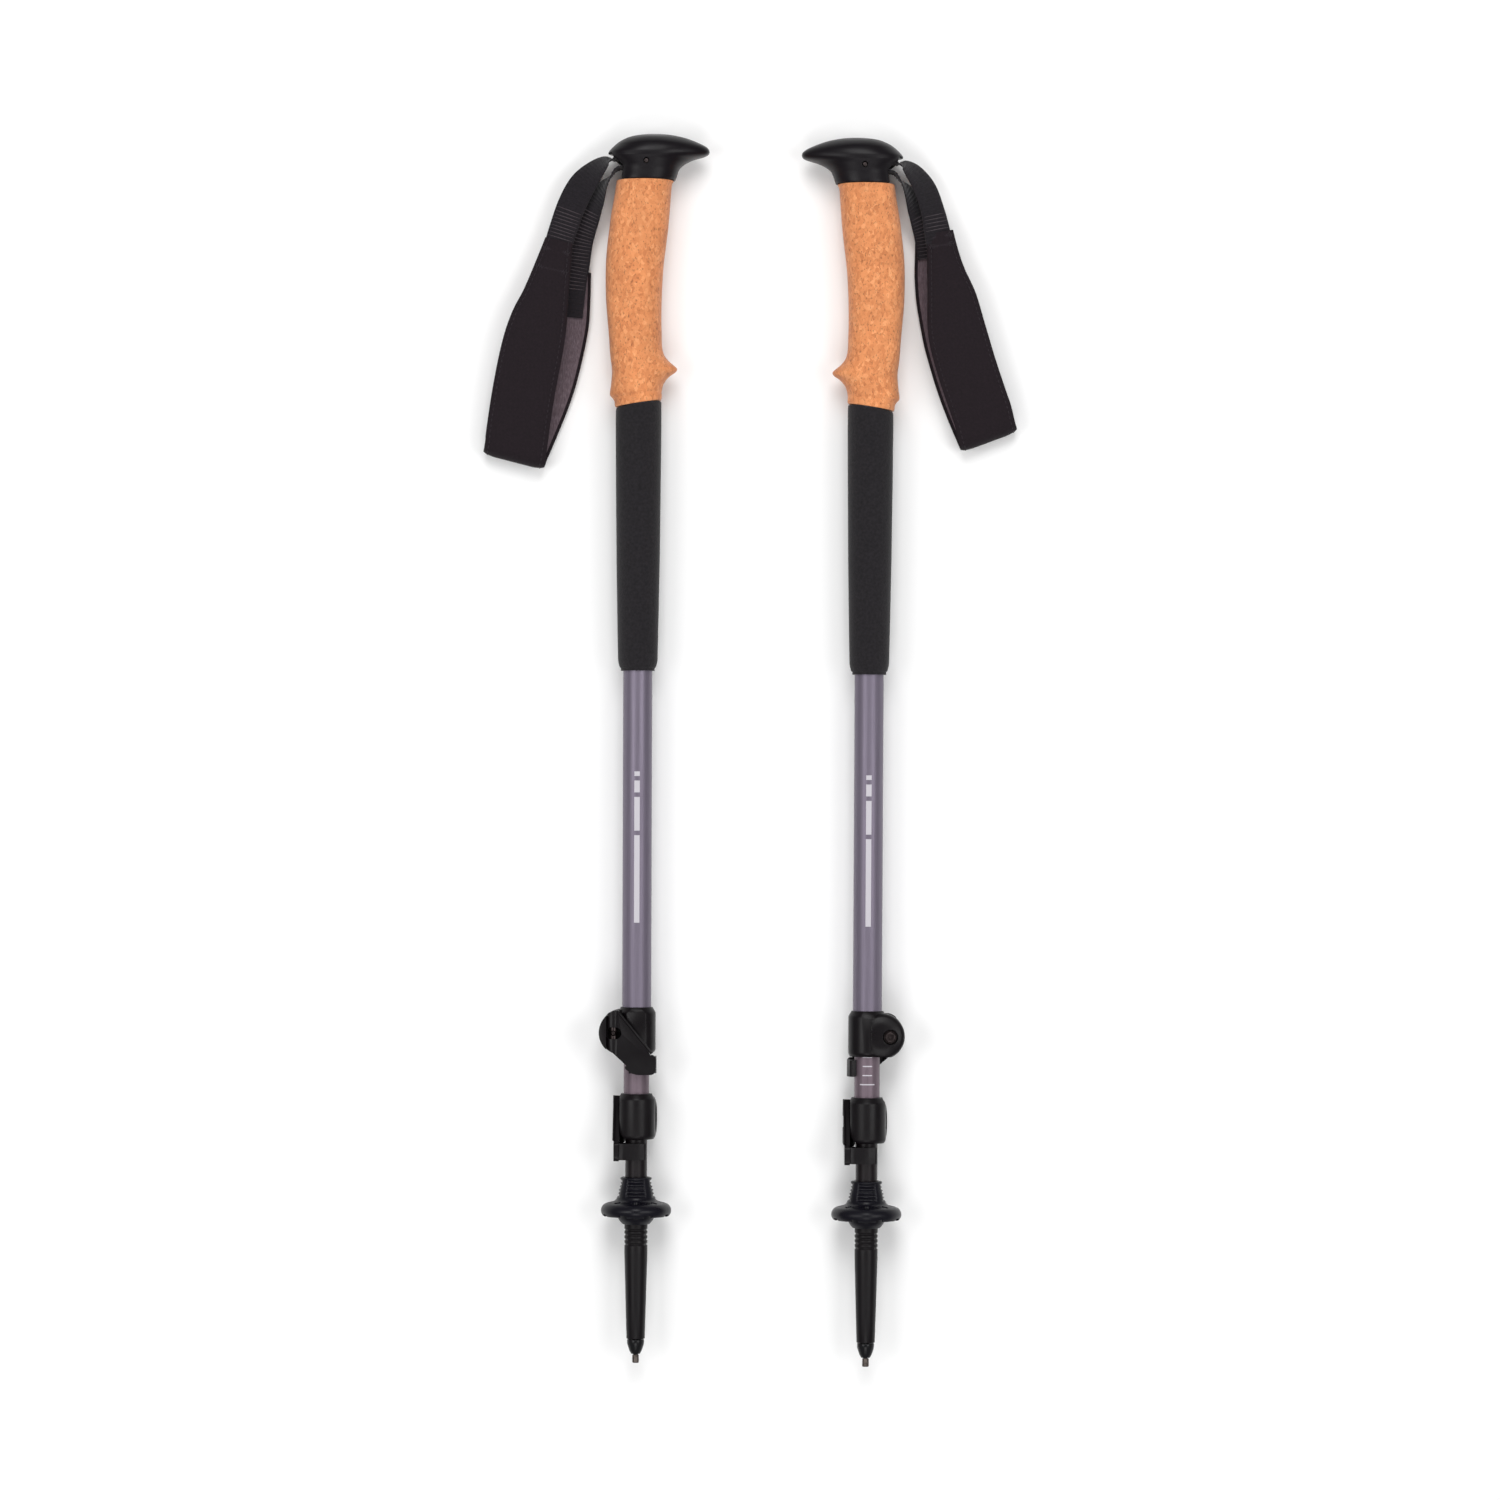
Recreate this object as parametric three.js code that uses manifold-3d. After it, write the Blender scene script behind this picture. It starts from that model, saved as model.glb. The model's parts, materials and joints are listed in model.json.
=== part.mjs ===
// A pair of three-section trekking poles lying side by side on a flat surface.
// Millimetres, +Z up. Each pole is built standing on its tip (z up the pole, x towards the nose of the
// head, y sideways) and then laid down along +Y.
import * as THREE from "three";
import { mergeVertices } from "three/addons/utils/BufferGeometryUtils.js";
import Module from "manifold-3d";

const wasm = await Module();
wasm.setup();

// ---- driving dimensions ----
const GAP = 0.3; // running gap between pieces that touch
const ROUND = 24;
const ROUND_SMALL = 16; // sides of a round piece
const WALL = 0.7; // tube wall
const UPPER_R = 8;
const MIDDLE_R = 7;
const LOWER_R = 6;
const TUBE_TOP = 648;
const UPPER_BOTTOM = 172;
const MIDDLE_TOP = 625;
const MIDDLE_BOTTOM = 124.4;
const LOWER_TOP = 600;
const LOWER_BOTTOM = 86;
const UPPER_LOCK_Z = 170.5; // bottom of the upper clamp collar
const LOWER_LOCK_Z = 122.9;
const GRIP_TOP = 650.2;
const GRIP_BOTTOM = 527;
const CORE_R = 9.7;
const BASKET_R = 19.3;
const POLE_SPACING = 126.4; // between the two axes at the tips
const RIGHT_SHIFT = -2.2; // the right pole lies this much lower
const LEAN = [0.18, 0.32]; // degrees that each pole leans in plan
const HEAD_HALF_WIDTH = 16.4;
const HEAD_REACH = 1.034 * HEAD_HALF_WIDTH; // the head is widest behind its middle
const HEAD_WIDEST_Z = 664;

// clamp lock, in its own frame: ears towards -x, lever towards -y, z from the collar's bottom
const COLLAR_R = 10.5;
const COLLAR_H = 25;
const EAR = { x: -8, z: 11.3, r: 12.5 };
const PIN = { x: -12.5, y: -9.5, z: 11, r: 2.2, camR: 3.6 };
const SCREW_R = 1.25;
const LEVER_OUT = -12.3;
const LEVER_IN = -9.4;

const FLOOR_RISE = EAR.r - EAR.x; // how far the lower clamp's ears reach from the axis
const PITCH = (FLOOR_RISE - HEAD_REACH) / (HEAD_WIDEST_Z - LOWER_LOCK_Z - EAR.z);

// ---- materials: colour, roughness, metalness ----
const look = (color, roughness, metalness = 0) =>
  new THREE.MeshStandardMaterial({ color, roughness, metalness });
const LOOKS = {
  blackPlastic: () => look(0x1c1a1d, 0.45),
  cork: () => look(0xc98a5a, 0.9),
  foam: () => look(0x17161a, 0.95),
  upperTube: () => look(0x7d7388, 0.35, 0.9),
  middleTube: () => look(0x7a6b74, 0.35, 0.9),
  lowerTube: () => look(0x211a1e, 0.35, 0.8),
  steel: () => look(0x9a9a9c, 0.3, 1),
  carbide: () => look(0x6c6460, 0.45, 1),
  webbing: () => look(0x1b191c, 0.9),
  lining: () => look(0x6d6072, 0.95),
};

// ---- geometry helpers ----
const vec = (x, y, z) => new THREE.Vector3(x, y, z);

/** One closed body with merged corners, no empty triangles and its faces pointing out. */
function closed(source) {
  const bare = source.index ? source.clone() : mergeVertices(source.clone());
  bare.deleteAttribute("normal");
  bare.deleteAttribute("uv");
  const merged = mergeVertices(bare, 1e-4);
  const at = merged.attributes.position;
  const corners = merged.index.array;
  const kept = [];
  let volume = 0;
  const [a, b, c] = [vec(), vec(), vec()];
  for (let i = 0; i < corners.length; i += 3) {
    const [p, q, r] = [corners[i], corners[i + 1], corners[i + 2]];
    if (p === q || q === r || r === p) continue;
    kept.push(p, q, r);
    const normal = b.fromBufferAttribute(at, q).cross(c.fromBufferAttribute(at, r));
    volume += a.fromBufferAttribute(at, p).dot(normal);
  }
  if (volume < 0) kept.reverse();
  const out = new THREE.BufferGeometry();
  out.setAttribute("position", at.clone());
  out.setIndex(kept);
  return out;
}

const solid = (geometry) => {
  const body = closed(geometry);
  const vertProperties = new Float32Array(body.attributes.position.array);
  const triVerts = new Uint32Array(body.index.array);
  return new wasm.Manifold(new wasm.Mesh({ numProp: 3, vertProperties, triVerts }));
};

const fromSolid = (manifold) => {
  const mesh = manifold.getMesh();
  const geometry = new THREE.BufferGeometry();
  geometry.setAttribute("position", new THREE.BufferAttribute(mesh.vertProperties.slice(), 3));
  geometry.setIndex(new THREE.BufferAttribute(mesh.triVerts.slice(), 1));
  return geometry;
};

/** A body turned about z from [radius, height] pairs; a ring unless it starts and ends on the axis. */
function turned(profile, sides = ROUND) {
  const points = profile.map(([r, z]) => new THREE.Vector2(r, z));
  const onAxis = profile[0][0] === 0 && profile[profile.length - 1][0] === 0;
  if (!onAxis) points.push(points[0].clone());
  return closed(new THREE.LatheGeometry(points, sides).rotateX(Math.PI / 2));
}

const tube = (r, wall, bottom, top) => turned([[r - wall, bottom], [r, bottom], [r, top], [r - wall, top]]);

/** A round bar between two points. */
function rod(radius, from, to, sides = ROUND_SMALL) {
  const along = to.clone().sub(from);
  const bar = new THREE.CylinderGeometry(radius, radius, along.length(), sides);
  bar.applyQuaternion(new THREE.Quaternion().setFromUnitVectors(vec(0, 1, 0), along.clone().normalize()));
  const middle = from.clone().add(to).multiplyScalar(0.5);
  return bar.translate(middle.x, middle.y, middle.z);
}

const block = (low, high) =>
  new THREE.BoxGeometry(high.x - low.x, high.y - low.y, high.z - low.z).translate(
    (low.x + high.x) / 2, (low.y + high.y) / 2, (low.z + high.z) / 2);

/** Rings of points joined side to side; `ring` joins the last ring to the first, else the ends are capped. */
function skin(rings, ring = false) {
  const n = rings[0].length;
  const points = rings.flat();
  const faces = [];
  const quad = (a, b, c, d) => faces.push(a, b, c, a, c, d);
  const last = ring ? rings.length : rings.length - 1;
  for (let i = 0; i < last; i++) {
    const [low, high] = [i * n, ((i + 1) % rings.length) * n];
    for (let j = 0; j < n; j++) quad(low + j, low + ((j + 1) % n), high + ((j + 1) % n), high + j);
  }
  if (!ring) {
    for (const [i, flip] of [[0, true], [rings.length - 1, false]]) {
      const middle = rings[i].reduce((sum, p) => sum.add(p), vec(0, 0, 0)).multiplyScalar(1 / n);
      const hub = points.push(middle) - 1;
      for (let j = 0; j < n; j++) {
        const [a, b] = [i * n + j, i * n + ((j + 1) % n)];
        faces.push(...(flip ? [hub, b, a] : [hub, a, b]));
      }
    }
  }
  const geometry = new THREE.BufferGeometry().setFromPoints(points);
  geometry.setIndex(faces);
  return closed(geometry);
}

/** A smooth value between [station, value] pairs. */
function along(pairs, at) {
  if (at <= pairs[0][0]) return pairs[0][1];
  const i = pairs.findIndex(([s]) => s >= at);
  if (i < 0) return pairs[pairs.length - 1][1];
  const [[s0, v0], [s1, v1]] = [pairs[i - 1], pairs[i]];
  return THREE.MathUtils.lerp(v0, v1, (at - s0) / (s1 - s0));
}

// ---- head and grips ----
/** A rounded section of the grip: rear and front reach, half width, narrower towards the front. */
function gripRing(z, rear, front, half, narrowing, slant = 0, sides = ROUND, power = 0.9) {
  const [middle, reach] = [(rear + front) / 2, (front - rear) / 2];
  return Array.from({ length: sides }, (_, j) => {
    const t = (j / sides) * 2 * Math.PI;
    const [c, s] = [Math.cos(t), Math.sin(t)];
    const x = middle + reach * Math.sign(c) * Math.abs(c) ** power;
    const y = half * Math.sign(s) * Math.abs(s) ** power * (1 - (narrowing * c) / 2);
    return vec(x, y, z + slant * x);
  });
}

const HEAD_SECTIONS = [
  // height, rear, front, half width, narrowing to the nose
  [650.8, -12.4, 19.9, 14.6, 0.1], [656.5, -11.4, 22.2, 15.2, 0.15], [659.5, -13, 25, 16, 0.25],
  [661.6, -15.4, 29.6, 16.6, 0.38], [663.4, -16.9, 37, HEAD_HALF_WIDTH, 0.5],
  [665.6, -17.1, 38.5, HEAD_HALF_WIDTH, 0.52], [668.4, -15.2, 38.2, 16.6, 0.5],
  [670.4, -13, 35.2, 15.6, 0.45], [672.2, -10.2, 30.8, 13.6, 0.4], [673.9, -6.4, 25, 11, 0.35],
  [675.8, 6, 12, 2, 0],
];
const SLOT = { x: -13, z: 659.2, r: 5.8, half: 9.6 };
const CROSS_PIN = { x: 4.1, z: 659.8, r: 1.5, half: 15.2 };

const crossBar = (r, half) =>
  rod(r, vec(CROSS_PIN.x, -half, CROSS_PIN.z), vec(CROSS_PIN.x, half, CROSS_PIN.z), 12);

function gripHead() {
  const shell = solid(skin(HEAD_SECTIONS.map((section) => gripRing(...section))));
  const slot = solid(rod(SLOT.r, vec(SLOT.x, -SLOT.half, SLOT.z), vec(SLOT.x, SLOT.half, SLOT.z)));
  const mouth = solid(block(vec(-26, -SLOT.half, SLOT.z - 3.4), vec(SLOT.x, SLOT.half, SLOT.z + 5.7)));
  const channel = solid(block(vec(SLOT.x, -SLOT.half, SLOT.z - 2.2), vec(0.5, SLOT.half, SLOT.z + 4.6)));
  const low = solid(block(vec(-26, -SLOT.half, 645), vec(SLOT.x + 4.5, SLOT.half, SLOT.z)));
  const hole = solid(crossBar(CROSS_PIN.r + GAP, 20));
  return fromSolid(shell.subtract(slot).subtract(mouth).subtract(channel).subtract(low).subtract(hole));
}

const strapPin = () => crossBar(CROSS_PIN.r, CROSS_PIN.half);

/** The block that jams the strap's two ends in the head's channel. */
function strapWedge() {
  const outline = new THREE.Shape();
  outline.moveTo(-6.6, SLOT.z - 1.7);
  outline.lineTo(0, SLOT.z - 1.9);
  outline.lineTo(0, SLOT.z + 4);
  outline.lineTo(-6.2, SLOT.z + 2.6);
  const wedge = new THREE.ExtrudeGeometry(outline, { depth: 2 * (SLOT.half - 1), bevelEnabled: false });
  return closed(wedge.rotateX(Math.PI / 2).translate(0, SLOT.half - 1, 0));
}

const CORK_SECTIONS = [
  // height, rear, front, half width
  [GRIP_TOP - 0.2, -12.4, 19.5, 15], [648.2, -12.9, 17.9, 14.8], [626.2, -16.1, 16.3, 14.4],
  [615, -17.5, 14.9, 14.3], [604.2, -18.3, 13.6, 14.2], [585.5, -18.2, 12.6, 13.9],
  [575, -17.3, 12.5, 13.7], [555, -15.9, 13.5, 13.5], [550.6, -15.4, 16.6, 13.6],
  [546.2, -14.8, 21, 13.7], [543, -14.8, 18.1, 13.6], [538.6, -15.3, 14.4, 13.4], [533.8, -15.8, 12.8, 13.3],
  [530.4, -13.6, 12.8, 13.1], [GRIP_BOTTOM + 0.6, -13, 12.7, 12.8],
];

function corkGrip() {
  const slant = (z) => 0.16 * THREE.MathUtils.clamp((545 - z) / 16, 0, 1);
  const outside = CORK_SECTIONS.map(
    ([z, rear, front, half]) => gripRing(z, rear, front, half, 0.12, slant(z)));
  const bore = [GRIP_BOTTOM + 0.6, GRIP_TOP - 0.2].map((z) => gripRing(z, -10, 10, 10, 0, slant(z)));
  return skin([...outside, ...bore], true);
}

const gripCore = () => turned([[UPPER_R + GAP, 532], [CORE_R, 532], [CORE_R, 649.6], [UPPER_R + GAP, 649.6]]);

/** The sleeve's top is cut at the grip's slant, so that the two meet all the way round. */
function foamSleeve() {
  const bore = UPPER_R + GAP;
  const [foot, head] = [381.5, GRIP_BOTTOM + 0.3];
  const profile = [
    [bore, foot], [9.8, foot], [10.9, 385.5], [11.15, 398], [11.9, 440], [12.6, 515], [12.6, head - 0.8],
    [12.2, head], [bore, head],
  ];
  return skin(profile.map(([r, z]) => gripRing(z, -r, r, r, 0, z > 520 ? 0.16 : 0, ROUND, 1)), true);
}

// ---- tubes and their bushes ----
const bush = (boreR, top) => turned([
  [boreR - 2, top - 9], [boreR - GAP, top - 9], [boreR - GAP, top + GAP], [boreR + WALL, top + GAP],
  [boreR + WALL, top + 5], [boreR - 2, top + 5],
], ROUND_SMALL);

// ---- clamp lock ----
/** The clamp collar with its split ears; `outer` and `inner` are the radii of the two tubes it joins. */
function lockCollar(outer, inner) {
  const body = solid(turned([
    [0, 0], [9.4, 0], [COLLAR_R, 1.4], [COLLAR_R, COLLAR_H - 3], [9.2, COLLAR_H - 0.7], [8.8, COLLAR_H],
    [0, COLLAR_H],
  ]));
  const ears = solid(turned([
    [0, PIN.y + PIN.camR + 0.4], [EAR.r, PIN.y + PIN.camR + 0.4], [EAR.r, 8.2], [11.4, 9.9], [7.5, 11.1],
    [0, 11.3],
  ], 28).rotateX(-Math.PI / 2).translate(EAR.x, 0, EAR.z));
  const guard = solid(rod(EAR.r, vec(EAR.x, LEVER_OUT, EAR.z), vec(EAR.x, -5, EAR.z), 28));
  const guardSide = solid(block(vec(-30, -20, -5), vec(PIN.x - PIN.camR - 0.4, 0, 40)));
  const corner = solid(block(vec(-30, -20, -3), vec(30, -3.4, 5.7)));
  const round = solid(rod(5.7, vec(-40, -3.4, 5.7), vec(40, -3.4, 5.7)));
  const earSide = solid(block(vec(-30, -20, 0), vec(-2, 20, COLLAR_H - 1)));
  const bore = solid(turned([
    [0, -1], [inner + GAP, -1], [inner + GAP, 1.1], [outer + GAP, 1.1], [outer + GAP, COLLAR_H + 1],
    [0, COLLAR_H + 1],
  ]));
  const slit = solid(block(vec(-30, -0.75, -2), vec(-outer + 1, 0.75, COLLAR_H + 2)));
  const flat = solid(block(vec(PIN.x + 4.5, -20, -1), vec(20, LEVER_IN + GAP, COLLAR_H + 2)));
  const screwHole = solid(rod(SCREW_R + GAP, vec(PIN.x, -20, PIN.z), vec(PIN.x, 20, PIN.z), 12));
  const counterbore = solid(rod(4.2, vec(PIN.x, 7.4, PIN.z), vec(PIN.x, 20, PIN.z)));
  return fromSolid(
    body.subtract(corner.subtract(round)).add(ears.intersect(earSide))
      .add(guard.intersect(guardSide).intersect(earSide))
      .subtract(bore).subtract(slit).subtract(flat).subtract(screwHole).subtract(counterbore));
}

/** The lever's flat side, seen along y: a round hub, a diagonal arm and a rounded tail. */
function leverOutline() {
  const hub = { x: -10.8, z: 11.2, r: 9.4, rise: 12.2 };
  const outline = new THREE.Shape();
  outline.absellipse(hub.x, hub.z, hub.r, hub.rise, 1.4, Math.PI, false, 0);
  outline.absarc(hub.x, hub.z, hub.r, Math.PI, Math.PI + 0.75, false);
  outline.lineTo(-7.1, -7.6);
  outline.quadraticCurveTo(-2.4, -11.6, 2.3, -11.8);
  outline.quadraticCurveTo(9.4, -11.8, 11, -9.2);
  outline.lineTo(11, -2.2);
  outline.lineTo(9, -0.7);
  return outline;
}

/** The lever's hooked tail, seen along z: it wraps the thinner tube. */
function tailOutline(inner) {
  const [reach, clear] = [11, inner + 0.5];
  const outline = new THREE.Shape();
  outline.moveTo(-4, LEVER_OUT);
  outline.lineTo(6.4, LEVER_OUT);
  outline.quadraticCurveTo(10.4, LEVER_OUT + 0.6, reach - 0.2, -6);
  outline.quadraticCurveTo(reach + 0.4, 0, reach - 1.6, 4.6);
  outline.lineTo(8.6, 5.7);
  outline.lineTo(clear * Math.cos(0.62), clear * Math.sin(0.62));
  outline.absarc(0, 0, clear, 0.62, -Math.PI / 3, true);
  outline.lineTo(-4, LEVER_IN);
  return outline;
}

function lockLever(inner) {
  const plain = { bevelEnabled: false, curveSegments: 5 };
  const plateDepth = LEVER_IN - LEVER_OUT;
  const plate = new THREE.ExtrudeGeometry(leverOutline(), { ...plain, depth: plateDepth })
    .rotateX(Math.PI / 2).translate(0, LEVER_IN, 0);
  const tail = new THREE.ExtrudeGeometry(tailOutline(inner), { ...plain, depth: 9 })
    .translate(0, 0, -11);
  const ahead = solid(block(vec(PIN.x, -30, -20), vec(30, 30, 40)));
  const hub = new THREE.ExtrudeGeometry(leverOutline(), { ...plain, depth: 12 })
    .rotateX(Math.PI / 2).translate(0, PIN.y + 6, 0);
  const cams = solid(rod(PIN.camR, vec(PIN.x, PIN.y, -4), vec(PIN.x, PIN.y, 24))).intersect(solid(hub));
  const [windowLeft, windowRight] = [-1.1, 1.1].map(
    (x) => solid(rod(3.4, vec(PIN.x + x, -20, PIN.z), vec(PIN.x + x, 0, PIN.z))));
  const pinBore = solid(rod(PIN.r + GAP, vec(PIN.x, PIN.y, -5), vec(PIN.x, PIN.y, 25), 12));
  return fromSolid(
    solid(plate).intersect(ahead).add(solid(tail)).add(cams)
      .subtract(windowLeft).subtract(windowRight).subtract(pinBore));
}

const lockPin = () => {
  const barrel = solid(rod(PIN.r, vec(PIN.x, PIN.y, 1.5), vec(PIN.x, PIN.y, 18.8), 12));
  const cross = solid(rod(SCREW_R + GAP, vec(PIN.x, -20, PIN.z), vec(PIN.x, 0, PIN.z), 12));
  return fromSolid(barrel.subtract(cross));
};

const lockScrew = () => {
  const shank = solid(rod(SCREW_R, vec(PIN.x, -11.6, PIN.z), vec(PIN.x, 9, PIN.z), 12));
  const head = solid(rod(2.9, vec(PIN.x, 8.6, PIN.z), vec(PIN.x, 11.2, PIN.z)));
  const socket = solid(rod(1.45, vec(PIN.x, 9.9, PIN.z), vec(PIN.x, 12, PIN.z), 6));
  return fromSolid(shank.add(head).subtract(socket));
};

const lockWasher = () => {
  const disc = solid(rod(3.7, vec(PIN.x, 7.7, PIN.z), vec(PIN.x, 8.3, PIN.z)));
  return fromSolid(disc.subtract(solid(rod(SCREW_R + GAP, vec(PIN.x, 7, PIN.z), vec(PIN.x, 9, PIN.z), 12))));
};

// ---- foot of the pole ----
const TIP_R = 6.35;

function tipBody() {
  const threads = [71.4, 66.4].flatMap((z) => [[TIP_R, z + 1.1], [5.9, z + 0.7], [5.9, z], [TIP_R, z - 0.4]]);
  return turned([
    [0, 100], [4.4, 100], [LOWER_R - WALL - GAP, 99], [LOWER_R - WALL - GAP, LOWER_BOTTOM - GAP],
    [TIP_R, LOWER_BOTTOM - GAP], ...threads, [TIP_R, 60], [5.75, 38], [5, 13.2], [0, 13.2],
  ]);
}

function basket() {
  const bore = TIP_R + GAP;
  const plate = solid(turned([
    [bore, 76.2], [7.4, 76.2], [9.4, 78.4], [10.6, 81.6], [11, 83.2], [16, 83.4], [16.4, 80.6], [18, 80.6],
    [BASKET_R, 82.6], [BASKET_R, 85], [17.6, 87.4], [12.4, 88.7], [11, 89.9], [10.5, 92.2], [10.1, 95],
    [9.1, 98], [8.5, 102], [bore, 102],
  ]));
  const notches = Array.from({ length: 8 }, (_, i) => {
    const [c, s] = [Math.cos((i * Math.PI) / 4), Math.sin((i * Math.PI) / 4)];
    return solid(rod(1.9, vec(14 * c, 14 * s, 70), vec(14 * c, 14 * s, 100), 8));
  });
  return fromSolid(notches.reduce((left, notch) => left.subtract(notch), plate));
}

const tipFerrule = () => turned([
  [0, 12.9], [4.7, 12.9], [4.7, 10.6], [3.4, 6.6], [2.4, 4.9], [1.5, 4.9], [1.5, 11], [0, 11],
], ROUND_SMALL);
const carbideTip = () => turned([
  [0, 10.6], [1.2, 10.6], [1.2, 4.6], [1.8, 4.6], [1.8, 0], [0, 0],
], ROUND_SMALL);

// ---- wrist strap, in plan (x, z) with `up`, the height over the floor ----
const AXIS_UP = 17.2; // height of the pole's axis beside the strap
const BAND = 3;
const LOW_UP = 2.2; // middle of the band's lower layer
const HIGH_UP = 14;
const FOLD_BACK = 6; // the bend's centre, in from the fold's edge

// Routes as [x, z, up, width, twist]: twist 0 lies flat and 1 stands on edge.
const STRAPS = {
  left: {
    fold: { x: -68.2, z: 498.6, lean: 0.25 },
    front: [[-44.2, 617.4, 14.4, 15.6, 0], [-50.8, 588.8, 16.4, 24.6, 0], [-54.8, 574, 17, 31, 0],
      [-58.6, 558, 17, 34, 0], [-63.4, 533.8, 16, 34.4, 0], [-66.6, 510, 14.4, 34.6, 0]],
    back: [[-65.2, 508, LOW_UP, 34.6, 0], [-54.6, 533.8, LOW_UP, 34.6, 0], [-48.7, 553.6, LOW_UP, 34, 0],
      [-43.4, 574.5, LOW_UP, 31.6, 0], [-39.6, 588.8, LOW_UP, 25.6, 0], [-36, 603, LOW_UP, 19, 0]],
    upper: [[-14.4, 661.8, 17.2, 16, 1], [-18.4, 661.4, 17.2, 16, 0.95], [-24.6, 659, 17, 16, 0.75],
      [-32.2, 649.6, 16.4, 16, 0.42], [-37.4, 636.5, 15.6, 15.6, 0.15], [-41.8, 624, 14.9, 15.4, 0],
      [-43.6, 619.4, 14.5, 15.4, 0]],
    lower: [[-12.6, 656.4, 17.2, 15.4, 1], [-15.6, 652.6, 16.8, 15.4, 0.95], [-18.9, 648.6, 15.8, 15.4, 0.85],
      [-24, 641, 13.2, 15.4, 0.55], [-27.6, 634, 11, 15.4, 0.3], [-33, 619, 7.2, 15.4, 0.05],
      [-35.2, 605, 6, 15.4, 0], [-36.8, 596, 6, 15.4, 0], [-39, 576, 6, 15.4, 0]],
  },
  right: {
    fold: { x: -65.6, z: 510.6, lean: 0.36 },
    front: [[-39.4, 617, 14.4, 15.6, 0], [-41.1, 602, 15.8, 21.2, 0], [-44.6, 586.6, 16.8, 27.8, 0],
      [-47.4, 569, 17, 32.2, 0], [-52.3, 551.4, 16.6, 33, 0], [-58, 534.6, 15.6, 33, 0],
      [-62.6, 522, 14.4, 33, 0]],
    back: [[-61.6, 520.4, LOW_UP, 33, 0], [-55.4, 535.4, LOW_UP, 33, 0], [-50, 551.4, LOW_UP, 33, 0],
      [-44.4, 569, LOW_UP, 31.6, 0], [-38.6, 586.6, LOW_UP, 25.6, 0], [-35.6, 601, LOW_UP, 19, 0]],
    upper: [[-14.4, 661.8, 17.2, 16, 1], [-18.4, 661.3, 17.2, 16, 0.95], [-24.2, 658.6, 17, 16, 0.75],
      [-30.6, 649.2, 16.4, 16, 0.42], [-34.8, 636, 15.6, 15.6, 0.15], [-37.9, 624, 14.9, 15.4, 0],
      [-38.9, 619.2, 14.5, 15.4, 0]],
    lower: [[-12.6, 656.4, 17.2, 15.4, 1], [-15.6, 652.6, 16.8, 15.4, 0.95], [-18.9, 648.6, 15.8, 15.4, 0.85],
      [-24, 641, 13.2, 15.4, 0.55], [-27.4, 634, 11, 15.4, 0.3], [-31.6, 619, 7.2, 15.4, 0.05],
      [-33.6, 605, 6, 15.4, 0], [-35.6, 595, 6, 15.4, 0], [-40, 577, 6, 15.4, 0]],
  },
};

/** A flat ribbon: stations of a point, the direction of its width, and its width. */
function ribbon(stations, thickness) {
  return skin(stations.map(({ at, wide, width, ahead }) => {
    const across = wide.clone().normalize().multiplyScalar(width / 2);
    const through = wide.clone().cross(ahead).normalize().multiplyScalar(thickness / 2);
    return [[-1, -1], [1, -1], [1, 1], [-1, 1]].map(([a, t]) =>
      at.clone().addScaledVector(across, a).addScaledVector(through, t));
  }));
}

/** Stations along a smooth route through a strap's knots. */
function route(knots, steps) {
  const path = new THREE.CatmullRomCurve3(knots.map(([x, z, up]) => vec(x, AXIS_UP - up, z)));
  const tail = knots.length - 1;
  return Array.from({ length: steps + 1 }, (_, i) => {
    const t = i / steps;
    const value = (column) => along(knots.map((knot, k) => [k / tail, knot[column]]), t);
    const ahead = path.getTangent(t);
    const flat = vec(0, 1, 0).cross(ahead).normalize();
    const edge = ahead.clone().cross(flat).normalize();
    const turn = (value(4) * Math.PI) / 2;
    const wide = flat.multiplyScalar(Math.cos(turn)).addScaledVector(edge, Math.sin(turn));
    return { at: path.getPoint(t), wide, width: value(3), ahead };
  });
}

/** The fold at the band's bottom end: half a turn from the upper layer to the lower one. */
function foldStations({ x, z, lean }, radius, width) {
  const out = vec(-Math.sin(lean), 0, -Math.cos(lean));
  const wide = vec(Math.cos(lean), 0, -Math.sin(lean));
  const centre = vec(x, AXIS_UP - (LOW_UP + HIGH_UP) / 2, z).addScaledVector(out, -FOLD_BACK);
  return [0, 1, 2, 3, 4, 5, 6].map((i) => {
    const t = (i / 6) * Math.PI;
    const ahead = out.clone().multiplyScalar(Math.cos(t)).add(vec(0, Math.sin(t), 0));
    const at = centre.clone().addScaledVector(out, radius * Math.sin(t)).add(vec(0, -radius * Math.cos(t), 0));
    return { at, wide, width, ahead };
  });
}

/** The band's loop, or with an inset the thinner loop of the lining inside it. */
function loopStations({ front, back, fold }, inset) {
  const lift = (knots, by) => knots.map(([x, z, up, ...rest]) => [x, z, up + by, ...rest]);
  const radius = (HIGH_UP - LOW_UP) / 2;
  return [
    ...route(lift(front, -inset), 8), ...foldStations(fold, radius - inset, front[front.length - 1][3]),
    ...route(lift(back, inset), 8),
  ].map((station) => ({ ...station, width: station.width - 2 * inset }));
}

const strapBand = (side) => ribbon(loopStations(STRAPS[side], 0), BAND);
const strapLining = (side) => ribbon(loopStations(STRAPS[side], BAND / 2 + GAP + 0.4), 0.8);
const strapUpperWeb = (side) => ribbon(route(STRAPS[side].upper, 18), 1.6);
const strapLowerWeb = (side) => ribbon(route(STRAPS[side].lower, 24), 1.5);

// ---- assembly ----
const bodyOf = (name, geometry, material) => {
  const mesh = new THREE.Mesh(closed(geometry), material());
  mesh.name = name;
  return mesh;
};

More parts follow.
